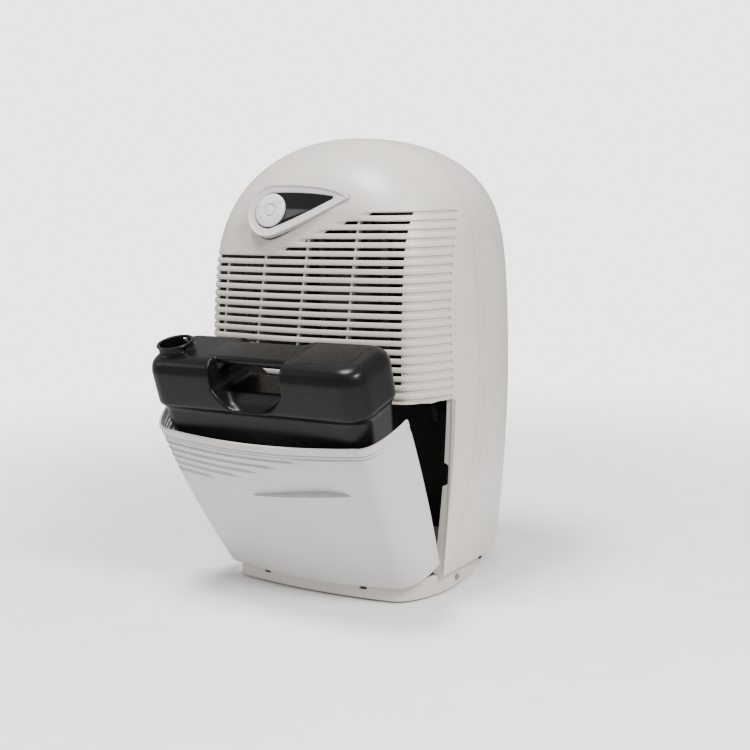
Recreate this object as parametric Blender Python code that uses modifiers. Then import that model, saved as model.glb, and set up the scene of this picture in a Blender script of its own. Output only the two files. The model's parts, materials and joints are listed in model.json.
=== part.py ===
"""Upright compressor dehumidifier with a tilting bucket door and a lift-out water tank.

Metres, +Z up.  The front of the machine faces -Y and +X is its right-hand side as seen from the
front.  The origin lies on the floor, below the middle of the base pan.
"""
import math

import bmesh
import bpy
import numpy as np
from mathutils import Matrix, Vector

# ---------------------------------------------------------------- driving dimensions
CASE_TOP = 0.544            # crown of the case above the floor
CASE_HALF_WIDTH = 0.1726    # widest half width of the case
CASE_FOOT_HALF_WIDTH = 0.151  # half width just above the base pan
CASE_WIDEST_Z = 0.273       # height of the widest point
CASE_FRONT_Y = -0.150       # foremost point of the case front
CASE_REAR_Y = 0.140         # flat rear face of the case
CASE_WALL = 0.003           # wall of the case mouldings
CASE_BOTTOM_Z = 0.0265      # lower edge of both case shells
CROWN_TAPER = 0.017         # how much the sides lean in on their way to the crown
CROWN_POWER = 6.0           # squareness of the crown
FOOT_POWER = 1.8            # how the sides draw in towards the base

BOW_RADIUS = 0.767          # plan radius of the bowed front
BOW_MID_Z = 0.212           # height at which the front stands furthest forward
BOW_RECEDE = 0.325          # curvature of the front in side view, per metre
CORNER_INSET = 0.041        # width of the rounded front corner
CROWN_INSET = 0.088         # height of the rounded edge above the front
CORNER_POWER = 1.7          # squareness of the front corner
DRAW_LOW_Z = 0.250          # the crown's rounding fades out down to this height
PARTING_Y = -0.025          # parting line between front and rear shell at the widest point
PARTING_BOW = 0.72          # the parting line curves forward towards the foot, per metre
PARTING_MID_Z = 0.273

GAP = 0.0004                # clearance between pieces that touch
SLIDE_GAP = 0.0012          # clearance between pieces that move past each other

REAR_FLAT_INSET = 0.075     # how far the rear face stands in from the case outline
REAR_SIDE_Y = 0.000         # the case sides run straight back to here

GRILLE_SLATS = 20           # air gaps in the front
GRILLE_PITCH = 0.010
GRILLE_GAP = 0.004
GRILLE_TOP_Z = 0.4548       # uppermost gap
GRILLE_HALF_WIDTH = 0.131   # where the air gaps end
GRILLE_STEPS = (0.076, 0.041, 0.0165, -0.010, -0.045)  # left ends of the shorter upper gaps

DOOR_TOP_Z = 0.240          # upper lip of the bucket door when shut
DOOR_BOTTOM_Z = 0.0262      # lower edge of the door's skirt
DOOR_FLOOR_Z = 0.0335       # underside of the shelf that carries the tank
DOOR_WALL = 0.0028
DOOR_REAR_Y = -0.0795       # rear edges of the door's side wings
DOOR_TILT = 27.4            # degrees, door open on its stop
DOOR_HINGE_Y = -0.1214
DOOR_HINGE_Z = 0.020
DOOR_CORNER_POWER = 2.2
DOOR_SHELF_REAR_Y = -0.030
SHELF_SIDE_GAP = 0.003      # between the shelf and the sides of the tank bay
HINGE_X = 0.070             # where the door's two lugs stand
HINGE_LUG_WIDTH = 0.008
HINGE_LUG_RADIUS = 0.0058
HINGE_EAR_RADIUS = 0.0065
EAR_WIDTH = 0.004
EAR_GAP = 0.0008
HINGE_PIN_RADIUS = 0.0035
HINGE_PIN_LENGTH = 0.020

TANK_HALF_WIDTH = 0.147
TANK_DEPTH = 0.090
TANK_HEIGHT = 0.150
TANK_WALL = 0.003
TANK_CORNER = 0.024
TANK_FOOT_TAPER = 0.007     # the sides draw in by this towards the foot
TANK_WAIST_INSET = 0.005    # the lower half stands in from the upper by this
TANK_WAIST_Z = 0.088
TANK_TILT = 16.0            # degrees, how the lifted tank leans forward
TANK_FOOT_Y = -0.1750       # middle of the lifted tank's underside
TANK_FOOT_Z = 0.1614
TANK_SEAT_Y = -0.0880       # middle of the underside when the tank stands in the shut door
TANK_SEAT_Z = 0.0375
NECK_X = -0.118
NECK_Y = -0.012
NECK_RADIUS = 0.0225
NECK_BORE = 0.0190
NECK_TOP_Z = 0.160
HANDLE_LEFT_X = -0.052
HANDLE_RIGHT_X = 0.046
HANDLE_GAP_LOW_Z = 0.108
HANDLE_GAP_HIGH_Z = 0.139
HANDLE_HALF_DEPTH = 0.021   # half depth of the grip left between the two scoops
SCOOP_LOW_Z = 0.092
SCOOP_NARROWING = 0.020     # how much each scoop narrows towards its foot

BAY_SIDE_INSET = 0.013      # the tank bay's sides stand this far in from the case outline
BAY_FRONT_Y = -0.0745
BAY_REAR_Y = -0.0080
BAY_CORNER = 0.020
BAY_WALL = 0.0025
DECK_Z = 0.2475             # underside of the deck that carries the fan and the coils
DECK_THICK = 0.003
DECK_HALF_WIDTH = 0.150
DECK_REAR_Y = 0.112

PANEL_X = -0.0484           # middle of the round key cluster
PANEL_Y = -0.1300
PANEL_Z = 0.4596
PANEL_LEAN = 20.0           # degrees, the panel leans back with the case
BEZEL_RADIUS = 0.033
BEZEL_TIP = (0.107, 0.015)
BEZEL_RIM = 0.0055
BEZEL_THICK = 0.006
BEZEL_PROUD = 0.0015
KEY_RADIUS = 0.0205
KEY_RING_GAP = 0.0018
MODE_RADIUS = 0.0068
KEY_THICK = 0.004
KEY_LINE = 0.0010           # width of the lines between the keys
KEY_SPLITS = (35.0, 165.0, 270.0)  # degrees, the lines between the three ring keys

BASE_TOP_Z = 0.0261
BASE_UNDERSIDE_Z = 0.0025
BASE_BOW_RADIUS = 0.644
BASE_BOW_HALF_WIDTH = 0.106
BASE_WIDEST_Y = -0.045
BASE_HALF_WIDTH = 0.144
BASE_FRONT_Y = -0.1343
BASE_REAR_Y = 0.132
BASE_WALL = 0.003
PAD_HALF_WIDTH = 0.030      # flat pad in the middle of the base pan's underside
PAD_HALF_DEPTH = 0.020
PAD_DROP = 0.0005           # how far the pad stands below the underside
FOOT_RADIUS = 0.011
FOOT_X = 0.105
FOOT_FRONT_Y = -0.095
FOOT_REAR_Y = 0.085

SIDE_SCREW_Y = -0.0344
SIDE_SCREW_Z = 0.013
SCREW_RADIUS = 0.0036
SCREW_HEAD = 0.0018
SCREW_SLOT = 0.0009
REAR_SCREW_X = 0.072
REAR_SCREW_LOW_Z = 0.110
REAR_SCREW_HIGH_Z = 0.228

INTAKE_HALF_WIDTH = 0.094
INTAKE_HALF_HEIGHT = 0.108
INTAKE_Z = 0.352
INTAKE_DEPTH = 0.010
FILTER_HALF_WIDTH = 0.086
FILTER_HALF_HEIGHT = 0.100
LOUVRES = 16
LOUVRE_PITCH = 0.012
LOUVRE_GAP = 0.006
CORD_X = 0.070
CORD_Z = 0.070
CORD_STEM_RADIUS = 0.006
CORD_FLANGE_RADIUS = 0.010
DRAIN_X = -0.060
DRAIN_Z = 0.070
DRAIN_RADIUS = 0.0065

SWITCH_X = 0.110
SWITCH_Z = 0.215

FAN_RADIUS = 0.088
FAN_HUB_RADIUS = 0.022
BLADE_HALF_THICK = 0.0009
FAN_CENTRE_Z = 0.352
FAN_CENTRE_Y = 0.020
FAN_DEPTH = 0.024
FAN_BLADES = 5
FAN_TIP_GAP = 0.006
MOTOR_RADIUS = 0.040
MOTOR_LENGTH = 0.050
SHAFT_RADIUS = 0.004

COIL_HALF_WIDTH = 0.100
COIL_LOW_Z = 0.262
COIL_HIGH_Z = 0.440
COIL_DEPTH = 0.022
CONDENSER_Y = 0.058
EVAPORATOR_Y = 0.090
PIPE_RADIUS = 0.0038

PIPE_SLOT_X = 0.128
GROMMET_HEIGHT = 0.012
ACCUMULATOR_X = 0.082
ACCUMULATOR_Y = 0.045
COMPRESSOR_RADIUS = 0.054
COMPRESSOR_Y = 0.062
COMPRESSOR_HIGH_Z = 0.178
PLATE_HALF = 0.058          # half the side of the plate that the compressor stands on
PLATE_THICK = 0.003

ROUND_SIDES = 32
SMALL_SIDES = 16
OUTLINE_POINTS = 33         # points along the case arch
CORNER_STEPS = 5            # facets round the front corner
FRONT_COLUMNS = 10          # facets across the front


# ---------------------------------------------------------------- materials
PALETTE = {
    "cream_abs": ((0.80, 0.78, 0.73), 0.35, 0.0),
    "white_abs": ((0.83, 0.82, 0.80), 0.42, 0.0),
    "base_abs": ((0.76, 0.74, 0.70), 0.45, 0.0),
    "black_tank": ((0.012, 0.012, 0.013), 0.38, 0.0),
    "black_abs": ((0.02, 0.02, 0.021), 0.55, 0.0),
    "window_black": ((0.01, 0.01, 0.012), 0.08, 0.0),
    "key_grey": ((0.70, 0.70, 0.69), 0.35, 0.0),
    "rubber": ((0.03, 0.03, 0.03), 0.8, 0.0),
    "aluminium": ((0.72, 0.73, 0.74), 0.4, 1.0),
    "copper": ((0.72, 0.36, 0.20), 0.3, 1.0),
    "galvanised": ((0.55, 0.55, 0.54), 0.45, 1.0),
    "steel": ((0.60, 0.60, 0.62), 0.3, 1.0),
    "motor_grey": ((0.30, 0.28, 0.26), 0.5, 0.4),
    "compressor_black": ((0.02, 0.02, 0.02), 0.35, 0.0),
    "circuit_green": ((0.03, 0.18, 0.08), 0.5, 0.0),
    "filter_grey": ((0.18, 0.18, 0.19), 0.9, 0.0),
}


def clear_scene():
    """Remove every object that the start-up file holds."""
    for obj in list(bpy.data.objects):
        bpy.data.objects.remove(obj, do_unlink=True)


def new_collection(name):
    """Make a collection in the scene."""
    group = bpy.data.collections.new(name)
    bpy.context.scene.collection.children.link(group)
    return group


def material(name):
    """Return the palette's material, made on first use."""
    made = bpy.data.materials.get(name)
    if made:
        return made
    colour, roughness, metallic = PALETTE[name]
    made = bpy.data.materials.new(name)
    made.use_nodes = True
    shader = made.node_tree.nodes["Principled BSDF"]
    shader.inputs["Base Color"].default_value = (*colour, 1.0)
    shader.inputs["Roughness"].default_value = roughness
    shader.inputs["Metallic"].default_value = metallic
    return made


clear_scene()
PARTS = new_collection("dehumidifier")
CUTTERS = new_collection("cutters")


# ---------------------------------------------------------------- building blocks
def place(name, mesh, finish, parent=None):
    """Put a mesh in the scene as one named sub-part."""
    obj = bpy.data.objects.new(name, mesh)
    PARTS.objects.link(obj)
    obj.data.materials.append(material(finish))
    if parent:
        obj.parent = parent
    return obj


def mesh_from(name, bm):
    """Close a bmesh into a mesh with its faces pointing out."""
    bmesh.ops.remove_doubles(bm, verts=bm.verts, dist=1e-6)
    bmesh.ops.recalc_face_normals(bm, faces=bm.faces)
    mesh = bpy.data.meshes.new(name)
    bm.to_mesh(mesh)
    bm.free()
    return mesh


def make_cutter(obj):
    """Hide an object that only cuts others."""
    for group in list(obj.users_collection):
        group.objects.unlink(obj)
    CUTTERS.objects.link(obj)
    obj.hide_render = True
    obj.display_type = "WIRE"
    return obj


def boolean(target, tool, operation="DIFFERENCE", solver="EXACT"):
    """Add a Boolean to the target."""
    make_cutter(tool)
    modifier = target.modifiers.new(tool.name, "BOOLEAN")
    modifier.object = tool
    modifier.operation = operation
    modifier.solver = solver


def boxes_mesh(name, corners):
    """One mesh of boxes, each between a low and a high corner."""
    bm = bmesh.new()
    for low, high in corners:
        made = bmesh.ops.create_cube(bm, size=1.0)
        for vert in made["verts"]:
            vert.co = Vector(low[i] + (vert.co[i] + 0.5) * (high[i] - low[i]) for i in range(3))
    return mesh_from(name, bm)


def box(name, low, high, finish="black_abs", parent=None, round_by=0.0):
    """A box with edges rounded by round_by."""
    obj = place(name, boxes_mesh(name, [(low, high)]), finish, parent)
    if round_by:
        bevel = obj.modifiers.new("rounded_edges", "BEVEL")
        bevel.width = round_by
        bevel.segments = 2
        bevel.limit_method = "ANGLE"
    return obj


def axis_matrix(axis, centre):
    """The matrix that turns +Z onto an axis letter and moves to a centre."""
    turns = {"X": Matrix.Rotation(math.pi / 2, 4, "Y"),
             "Y": Matrix.Rotation(-math.pi / 2, 4, "X"),
             "Z": Matrix.Identity(4)}
    return Matrix.Translation(Vector(centre)) @ turns[axis]


def cylinder_mesh(name, radius, length, centre, axis="Z", sides=ROUND_SIDES, end_radius=None):
    """A cylinder or cone of a given length about a centre."""
    bm = bmesh.new()
    bmesh.ops.create_cone(bm, cap_ends=True, segments=sides, radius1=radius,
                          radius2=radius if end_radius is None else end_radius, depth=length)
    bmesh.ops.transform(bm, matrix=axis_matrix(axis, centre), verts=bm.verts)
    return mesh_from(name, bm)


def cylinder(name, radius, length, centre, axis="Z", finish="steel", sides=ROUND_SIDES,
             parent=None, end_radius=None):
    """A cylinder as a sub-part."""
    mesh = cylinder_mesh(name, radius, length, centre, axis, sides, end_radius)
    return place(name, mesh, finish, parent)


def turned(name, profile, centre, axis, finish, sides=ROUND_SIDES, parent=None):
    """A solid of revolution: profile is a list of (radius, height) from the top down."""
    bm = bmesh.new()
    rings = []
    for radius, height in profile:
        ring = []
        for step in range(sides):
            angle = 2 * math.pi * step / sides
            ring.append(bm.verts.new((radius * math.cos(angle), radius * math.sin(angle), height)))
        rings.append(ring)
    bridge_rings(bm, rings, closed=True)
    bm.faces.new(rings[0])
    bm.faces.new(rings[-1])
    bmesh.ops.transform(bm, matrix=axis_matrix(axis, centre), verts=bm.verts)
    return place(name, mesh_from(name, bm), finish, parent)


def bridge_rings(bm, rings, closed):
    """Join neighbouring rings of equal length with quads."""
    count = len(rings[0])
    last = count if closed else count - 1
    for upper, lower in zip(rings, rings[1:]):
        for i in range(last):
            j = (i + 1) % count
            bm.faces.new((upper[i], upper[j], lower[j], lower[i]))


def loft(name, sections, finish, parent=None):
    """A closed solid through sections of equal point count, capped at both ends."""
    bm = bmesh.new()
    rings = [[bm.verts.new(point) for point in section] for section in sections]
    bridge_rings(bm, rings, closed=True)
    bm.faces.new(rings[0])
    bm.faces.new(rings[-1])
    return place(name, mesh_from(name, bm), finish, parent)


def prism_mesh(name, outline, low, high, axis="Z"):
    """An outline in the plane across an axis, extruded from low to high along it."""
    bm = bmesh.new()
    order = {"Z": lambda u, v, w: (u, v, w), "Y": lambda u, v, w: (u, w, v),
             "X": lambda u, v, w: (w, u, v)}[axis]
    rings = [[bm.verts.new(order(u, v, w)) for u, v in outline] for w in (low, high)]
    bridge_rings(bm, rings, closed=True)
    bm.faces.new(rings[0])
    bm.faces.new(rings[1])
    return mesh_from(name, bm)


def prism(name, outline, low, high, axis="Z", finish="black_abs", parent=None):
    """A prism as a sub-part."""
    return place(name, prism_mesh(name, outline, low, high, axis), finish, parent)


def rounded_rectangle(half_u, half_v, radius, steps=4, centre=(0.0, 0.0)):
    """Points round a rectangle with round corners, anticlockwise."""
    points = []
    for quarter, (su, sv) in enumerate(((1, 1), (-1, 1), (-1, -1), (1, -1))):
        for step in range(steps + 1):
            angle = math.pi / 2 * (quarter + step / steps)
            points.append((centre[0] + su * (half_u - radius) + radius * math.cos(angle),
                           centre[1] + sv * (half_v - radius) + radius * math.sin(angle)))
    return points


def arc_points(centre, radius, start, end, steps):
    """Points along an arc, angles in degrees."""
    angles = [math.radians(start + (end - start) * step / steps) for step in range(steps + 1)]
    return [(centre[0] + radius * math.cos(a), centre[1] + radius * math.sin(a)) for a in angles]


def pipe(name, points, radius, finish="copper", parent=None):
    """A round bar or tube along a smooth route, as a welded solid."""
    curve = bpy.data.curves.new(name, "CURVE")
    curve.dimensions = "3D"
    curve.bevel_depth = radius
    curve.bevel_resolution = 2
    curve.use_fill_caps = True
    curve.render_resolution_u = 0
    spline = curve.splines.new("POLY")
    spline.points.add(len(points) - 1)
    for point, position in zip(spline.points, points):
        point.co = (*position, 1.0)
    guide = bpy.data.objects.new(name + "_route", curve)
    bpy.context.scene.collection.objects.link(guide)
    depsgraph = bpy.context.evaluated_depsgraph_get()
    mesh = bpy.data.meshes.new_from_object(guide.evaluated_get(depsgraph))
    bm = bmesh.new()
    bm.from_mesh(mesh)
    bpy.data.objects.remove(guide, do_unlink=True)
    bpy.data.curves.remove(curve)
    bpy.data.meshes.remove(mesh)
    bmesh.ops.remove_doubles(bm, verts=bm.verts, dist=1e-5)
    return place(name, mesh_from(name, bm), finish, parent)


def smooth_route(corners, bend, steps=4):
    """Straight runs between corners with each corner rounded by a bend radius."""
    corners = [Vector(corner) for corner in corners]
    route = [corners[0]]
    for before, here, after in zip(corners, corners[1:], corners[2:]):
        reach = min(bend, (here - before).length * 0.45, (after - here).length * 0.45)
        start = here + (before - here).normalized() * reach
        end = here + (after - here).normalized() * reach
        for step in range(steps + 1):
            t = step / steps
            route.append(start * (1 - t) ** 2 + here * 2 * t * (1 - t) + end * t ** 2)
    route.append(corners[-1])
    return route


def smooth(obj, angle=35.0):
    """Shade a round piece smooth with its sharp edges kept."""
    obj.data.shade_smooth()
    obj.data.set_sharp_from_angle(angle=math.radians(angle))
    return obj


# ---------------------------------------------------------------- case form
def case_half_width(z):
    """Half width of the case at a height."""
    if z < CASE_WIDEST_Z:
        share = (CASE_WIDEST_Z - z) / (CASE_WIDEST_Z - CASE_BOTTOM_Z)
        return CASE_HALF_WIDTH - (CASE_HALF_WIDTH - CASE_FOOT_HALF_WIDTH) * share ** FOOT_POWER
    share = min((z - CASE_WIDEST_Z) / (CASE_TOP - CASE_WIDEST_Z), 1.0)
    return (CASE_HALF_WIDTH - CROWN_TAPER * share ** 2) * math.sqrt(1.0 - share ** CROWN_POWER)


def case_arch(count):
    """Evenly spaced points (x, z) of the case outline, from the left foot over the crown."""
    heights = CASE_BOTTOM_Z + (CASE_TOP - CASE_BOTTOM_Z) * np.sin(np.linspace(0, math.pi / 2, 400))
    left = np.array([(-case_half_width(z), z) for z in heights])
    right = left[::-1][1:] * (-1, 1)
    dense = np.vstack((left, right))
    steps = np.linalg.norm(np.diff(dense, axis=0), axis=1)
    length = np.concatenate(((0,), np.cumsum(steps)))
    at = np.linspace(0, length[-1], count)
    return np.column_stack([np.interp(at, length, dense[:, i]) for i in (0, 1)])


def drawn_in(x, z, side_inset, crown_inset):
    """A point of the case outline drawn in from the sides, and down from the crown."""
    share = max(z - DRAW_LOW_Z, 0.0) / (CASE_TOP - DRAW_LOW_Z)
    return x * (1 - side_inset / CASE_HALF_WIDTH), z - crown_inset * share ** 2


def front_y(x, z):
    """The bowed front face of the case."""
    return CASE_FRONT_Y + BOW_RECEDE * (z - BOW_MID_Z) ** 2 + x * x / (2 * BOW_RADIUS)


def parting_y(z):
    """The line where the front and rear shells meet."""
    return PARTING_Y - PARTING_BOW * min(z - PARTING_MID_Z, 0.0) ** 2


def front_surface(bm):
    """The open outer surface of the front shell: rounded corner rings, then rows across."""
    rings = []
    for step in range(CORNER_STEPS + 1):
        angle = math.pi / 2 * step / CORNER_STEPS
        inset = 1.0 - max(math.cos(angle), 0.0) ** (2 / CORNER_POWER)
        share = math.sin(angle) ** (2 / CORNER_POWER)
        ring = []
        for x, z in case_arch(OUTLINE_POINTS):
            inner_x, inner_z = drawn_in(x, z, CORNER_INSET, CROWN_INSET)
            rear = parting_y(z) - GAP
            y = rear + (front_y(inner_x, inner_z) - rear) * share
            ring.append(bm.verts.new((x + (inner_x - x) * inset, y, z + (inner_z - z) * inset)))
        rings.append(ring)
    bridge_rings(bm, rings, closed=False)
    fill_front(bm, rings[-1])


def fill_front(bm, ring):
    """Rows of faces between the left and right sides of the innermost ring."""
    count = len(ring)
    rows = []
    for i in range(count // 2):
        left, right = ring[i], ring[count - 1 - i]
        row = [left]
        for column in range(1, FRONT_COLUMNS):
            x = left.co.x + (right.co.x - left.co.x) * column / FRONT_COLUMNS
            z = (left.co.z + right.co.z) / 2
            row.append(bm.verts.new((x, front_y(x, z), z)))
        rows.append(row + [right])
    bridge_rings(bm, rows, closed=False)
    crown = ring[count // 2]
    for a, b in zip(rows[-1], rows[-1][1:]):
        bm.faces.new((a, b, crown))


def shell_from(name, build, finish, wall, inward):
    """An open surface with its wall added by Solidify."""
    bm = bmesh.new()
    build(bm)
    bmesh.ops.remove_doubles(bm, verts=bm.verts, dist=1e-6)
    bmesh.ops.recalc_face_normals(bm, faces=bm.faces)
    outward = sum((face.normal.dot(face.calc_center_median() - inward) for face in bm.faces))
    if outward < 0:
        bmesh.ops.reverse_faces(bm, faces=bm.faces)
    mesh = bpy.data.meshes.new(name)
    bm.to_mesh(mesh)
    bm.free()
    obj = place(name, mesh, finish)
    solid = obj.modifiers.new("wall", "SOLIDIFY")
    solid.thickness = wall
    solid.offset = -1.0
    solid.use_even_offset = True
    solid.thickness_clamp = 0.0
    return obj


# ---------------------------------------------------------------- groups that move
def pivot(name, world, tilt=0.0, home=None):
    """An empty on a joint axis; home is where the axis lies before the group is tilted."""
    empty = bpy.data.objects.new(name, None)
    PARTS.objects.link(empty)
    empty.location = world
    empty.rotation_euler.x = math.radians(tilt)
    empty["home"] = list(home if home is not None else world)
    return empty


def hang(obj, empty):
    """Hang an object, drawn in its untilted place, on a pivot."""
    obj.data.transform(Matrix.Translation(-Vector(empty["home"])))
    obj.parent = empty
    return obj


def turn_yz(y, z, degrees):
    """Turn a point of the YZ plane about the X axis."""
    angle = math.radians(degrees)
    return (y * math.cos(angle) - z * math.sin(angle), y * math.sin(angle) + z * math.cos(angle))


def swing_axis():
    """The axis about which the lifted tank settles into the door, in the shut door's frame.

    Turning by the door's tilt less the tank's own tilt carries the lifted foot onto its seat.
    """
    turn = math.radians(DOOR_TILT - TANK_TILT)
    y, z = turn_yz(TANK_FOOT_Y - DOOR_HINGE_Y, TANK_FOOT_Z - DOOR_HINGE_Z, -DOOR_TILT)
    lifted = np.array((y + DOOR_HINGE_Y, z + DOOR_HINGE_Z))
    seat = np.array((TANK_SEAT_Y, TANK_SEAT_Z))
    rotation = np.array(((math.cos(turn), -math.sin(turn)), (math.sin(turn), math.cos(turn))))
    return np.linalg.solve(np.eye(2) - rotation, seat - rotation @ lifted)


def make_pivots():
    """The empties on the door's hinge, the tank's swing axis and the control panel."""
    door = pivot("door_hinge", (0.0, DOOR_HINGE_Y, DOOR_HINGE_Z), DOOR_TILT)
    axis_y, axis_z = swing_axis()
    y, z = turn_yz(axis_y - DOOR_HINGE_Y, axis_z - DOOR_HINGE_Z, DOOR_TILT)
    tank = pivot("tank_swing", (0.0, y + DOOR_HINGE_Y, z + DOOR_HINGE_Z), TANK_TILT,
                 (0.0, axis_y, axis_z))
    panel = pivot("panel_plane", (PANEL_X, PANEL_Y, PANEL_Z), 90.0 - PANEL_LEAN, (0.0, 0.0, 0.0))
    return door, tank, panel


# ---------------------------------------------------------------- base
def base_outline(inset, steps=8):
    """Plan of the base pan, anticlockwise from the middle of the front."""
    side = []
    for step in range(steps + 1):
        x = BASE_BOW_HALF_WIDTH * step / steps
        side.append((x, BASE_FRONT_Y + x * x / (2 * BASE_BOW_RADIUS)))
    corner_y = side[-1][1]
    wide = BASE_HALF_WIDTH - BASE_BOW_HALF_WIDTH
    for step in range(1, steps + 1):
        angle = math.pi / 2 * step / steps
        side.append((BASE_BOW_HALF_WIDTH + wide * math.sin(angle) ** 1.1,
                     BASE_WIDEST_Y + (corner_y - BASE_WIDEST_Y) * math.cos(angle) ** 1.1))
    depth = BASE_REAR_Y - BASE_WIDEST_Y
    for step in range(1, steps):
        share = math.sin(math.pi / 2 * step / steps)
        side.append((BASE_HALF_WIDTH * (1 - share ** 2.1) ** (1 / 3), BASE_WIDEST_Y + depth * share))
    outline = side + [(0.0, BASE_REAR_Y)] + [(-x, y) for x, y in reversed(side[1:])]
    scale_x = 1 - inset / BASE_HALF_WIDTH
    middle = (BASE_FRONT_Y + BASE_REAR_Y) / 2
    scale_y = 1 - inset / (BASE_REAR_Y - middle)
    return [(x * scale_x, middle + (y - middle) * scale_y) for x, y in outline]


def make_base():
    """The tray that everything stands on, with its hinge ears, and four rubber feet."""
    base = prism("base_pan", base_outline(0.0), BASE_UNDERSIDE_Z, BASE_TOP_Z, finish="base_abs")
    floor_z = BASE_UNDERSIDE_Z + BASE_WALL
    tray = prism("tray_cut", base_outline(BASE_WALL), floor_z, BASE_TOP_Z + 0.01)
    boolean(base, tray)
    pad = box("centre_pad", (-PAD_HALF_WIDTH, -PAD_HALF_DEPTH, BASE_UNDERSIDE_Z - PAD_DROP),
              (PAD_HALF_WIDTH, PAD_HALF_DEPTH, BASE_UNDERSIDE_Z + BASE_WALL / 2))
    boolean(base, pad, "UNION")
    for side in (-1, 1):
        for offset in (-1, 1):
            middle = side * HINGE_X + offset * (HINGE_LUG_WIDTH / 2 + EAR_GAP + EAR_WIDTH / 2)
            ear = box("ear", (middle - EAR_WIDTH / 2, DOOR_HINGE_Y - HINGE_EAR_RADIUS, floor_z - 0.001),
                      (middle + EAR_WIDTH / 2, DOOR_HINGE_Y + HINGE_EAR_RADIUS, BASE_TOP_Z - 0.0005))
            boolean(base, ear, "UNION")
        notch = box("lug_notch", (side * HINGE_X - HINGE_LUG_WIDTH / 2 - EAR_GAP, BASE_FRONT_Y - 0.02,
                                  DOOR_HINGE_Z - HINGE_LUG_RADIUS - SLIDE_GAP),
                    (side * HINGE_X + HINGE_LUG_WIDTH / 2 + EAR_GAP, DOOR_HINGE_Y, BASE_TOP_Z + 0.01))
        boolean(base, notch)
        bore = cylinder("ear_bore", HINGE_PIN_RADIUS + 0.0003, 0.05,
                        (side * HINGE_X, DOOR_HINGE_Y, DOOR_HINGE_Z), "X", sides=SMALL_SIDES)
        boolean(base, bore)
        name = "hinge_pin_right" if side > 0 else "hinge_pin_left"
        smooth(cylinder(name, HINGE_PIN_RADIUS, HINGE_PIN_LENGTH,
                        (side * HINGE_X, DOOR_HINGE_Y, DOOR_HINGE_Z), "X", "steel", SMALL_SIDES))
    for front, y in (("front", FOOT_FRONT_Y), ("rear", FOOT_REAR_Y)):
        for side, x in (("left", -FOOT_X), ("right", FOOT_X)):
            height = BASE_UNDERSIDE_Z - GAP
            smooth(cylinder(f"foot_{front}_{side}", FOOT_RADIUS, height, (x, y, height / 2), "Z",
                            "rubber", 20))
    for name, side in (("side_screw_left", -1), ("side_screw_right", 1)):
        make_screw(name, (side * (BASE_HALF_WIDTH + GAP), SIDE_SCREW_Y, SIDE_SCREW_Z), "X", side)


def make_screw(name, seat, axis, way):
    """A pan head with a crossed recess; its shank is hidden in the moulding."""
    centre = Vector(seat)
    index = "XYZ".index(axis)
    centre[index] += way * SCREW_HEAD / 2
    head = cylinder(name, SCREW_RADIUS, SCREW_HEAD, centre, axis, "steel", SMALL_SIDES)
    slot_low = Vector(centre) - Vector((SCREW_SLOT, SCREW_SLOT, SCREW_SLOT)) / 2
    slot_high = Vector(centre) + Vector((SCREW_SLOT, SCREW_SLOT, SCREW_SLOT)) / 2
    for long in {0, 1, 2} - {index}:
        low, high = slot_low.copy(), slot_high.copy()
        low[long], high[long] = centre[long] - SCREW_RADIUS * 0.6, centre[long] + SCREW_RADIUS * 0.6
        low[index] = centre[index] + (0 if way > 0 else -SCREW_HEAD)
        high[index] = centre[index] + (SCREW_HEAD if way > 0 else 0)
        boolean(head, box(name + "_recess", low, high))
    return head


# ---------------------------------------------------------------- case shells
def make_front_cover(panel):
    """The front moulding: crown, air gaps and the frame round the bucket door."""
    cover = shell_from("front_cover", front_surface, "cream_abs", CASE_WALL,
                       Vector((0.0, 0.05, 0.27)))
    mouth = box("door_mouth", (-0.3, CASE_FRONT_Y - 0.05, -0.1),
                (0.3, DOOR_REAR_Y + SLIDE_GAP, DOOR_TOP_Z + SLIDE_GAP))
    boolean(cover, mouth)
    gaps = []
    for gap in range(GRILLE_SLATS):
        z = GRILLE_TOP_Z - gap * GRILLE_PITCH
        left = GRILLE_STEPS[gap] if gap < len(GRILLE_STEPS) else -GRILLE_HALF_WIDTH
        gaps.append(((left, CASE_FRONT_Y - 0.02, z - GRILLE_GAP / 2),
                     (GRILLE_HALF_WIDTH, CASE_FRONT_Y + 0.05, z + GRILLE_GAP / 2)))
    boolean(cover, place("air_gaps", boxes_mesh("air_gaps", gaps), "black_abs"))
    hole = prism("panel_hole", bezel_outline(BEZEL_RADIUS + GAP), -0.03, 0.03)
    hole.parent = panel
    boolean(cover, hole)
    return cover


def rear_surface(bm):
    """The open outer surface of the rear shell: straight sides, then rounded into a flat back."""
    stations = [(0.0, None)]
    for step in range(CORNER_STEPS + 1):
        angle = math.pi / 2 * step / CORNER_STEPS
        stations.append((1 - math.cos(angle), math.sin(angle)))
    rings = []
    for inset, share in stations:
        ring = []
        for x, z in case_arch(OUTLINE_POINTS):
            y = parting_y(z) + GAP
            if share is not None:
                y = REAR_SIDE_Y + (CASE_REAR_Y - REAR_SIDE_Y) * share
            px, pz = drawn_in(x, z, REAR_FLAT_INSET * inset, REAR_FLAT_INSET * inset)
            ring.append(bm.verts.new((px, y, pz)))
        rings.append(ring)
    bridge_rings(bm, rings, closed=False)
    bm.faces.new(rings[-1])


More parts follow.
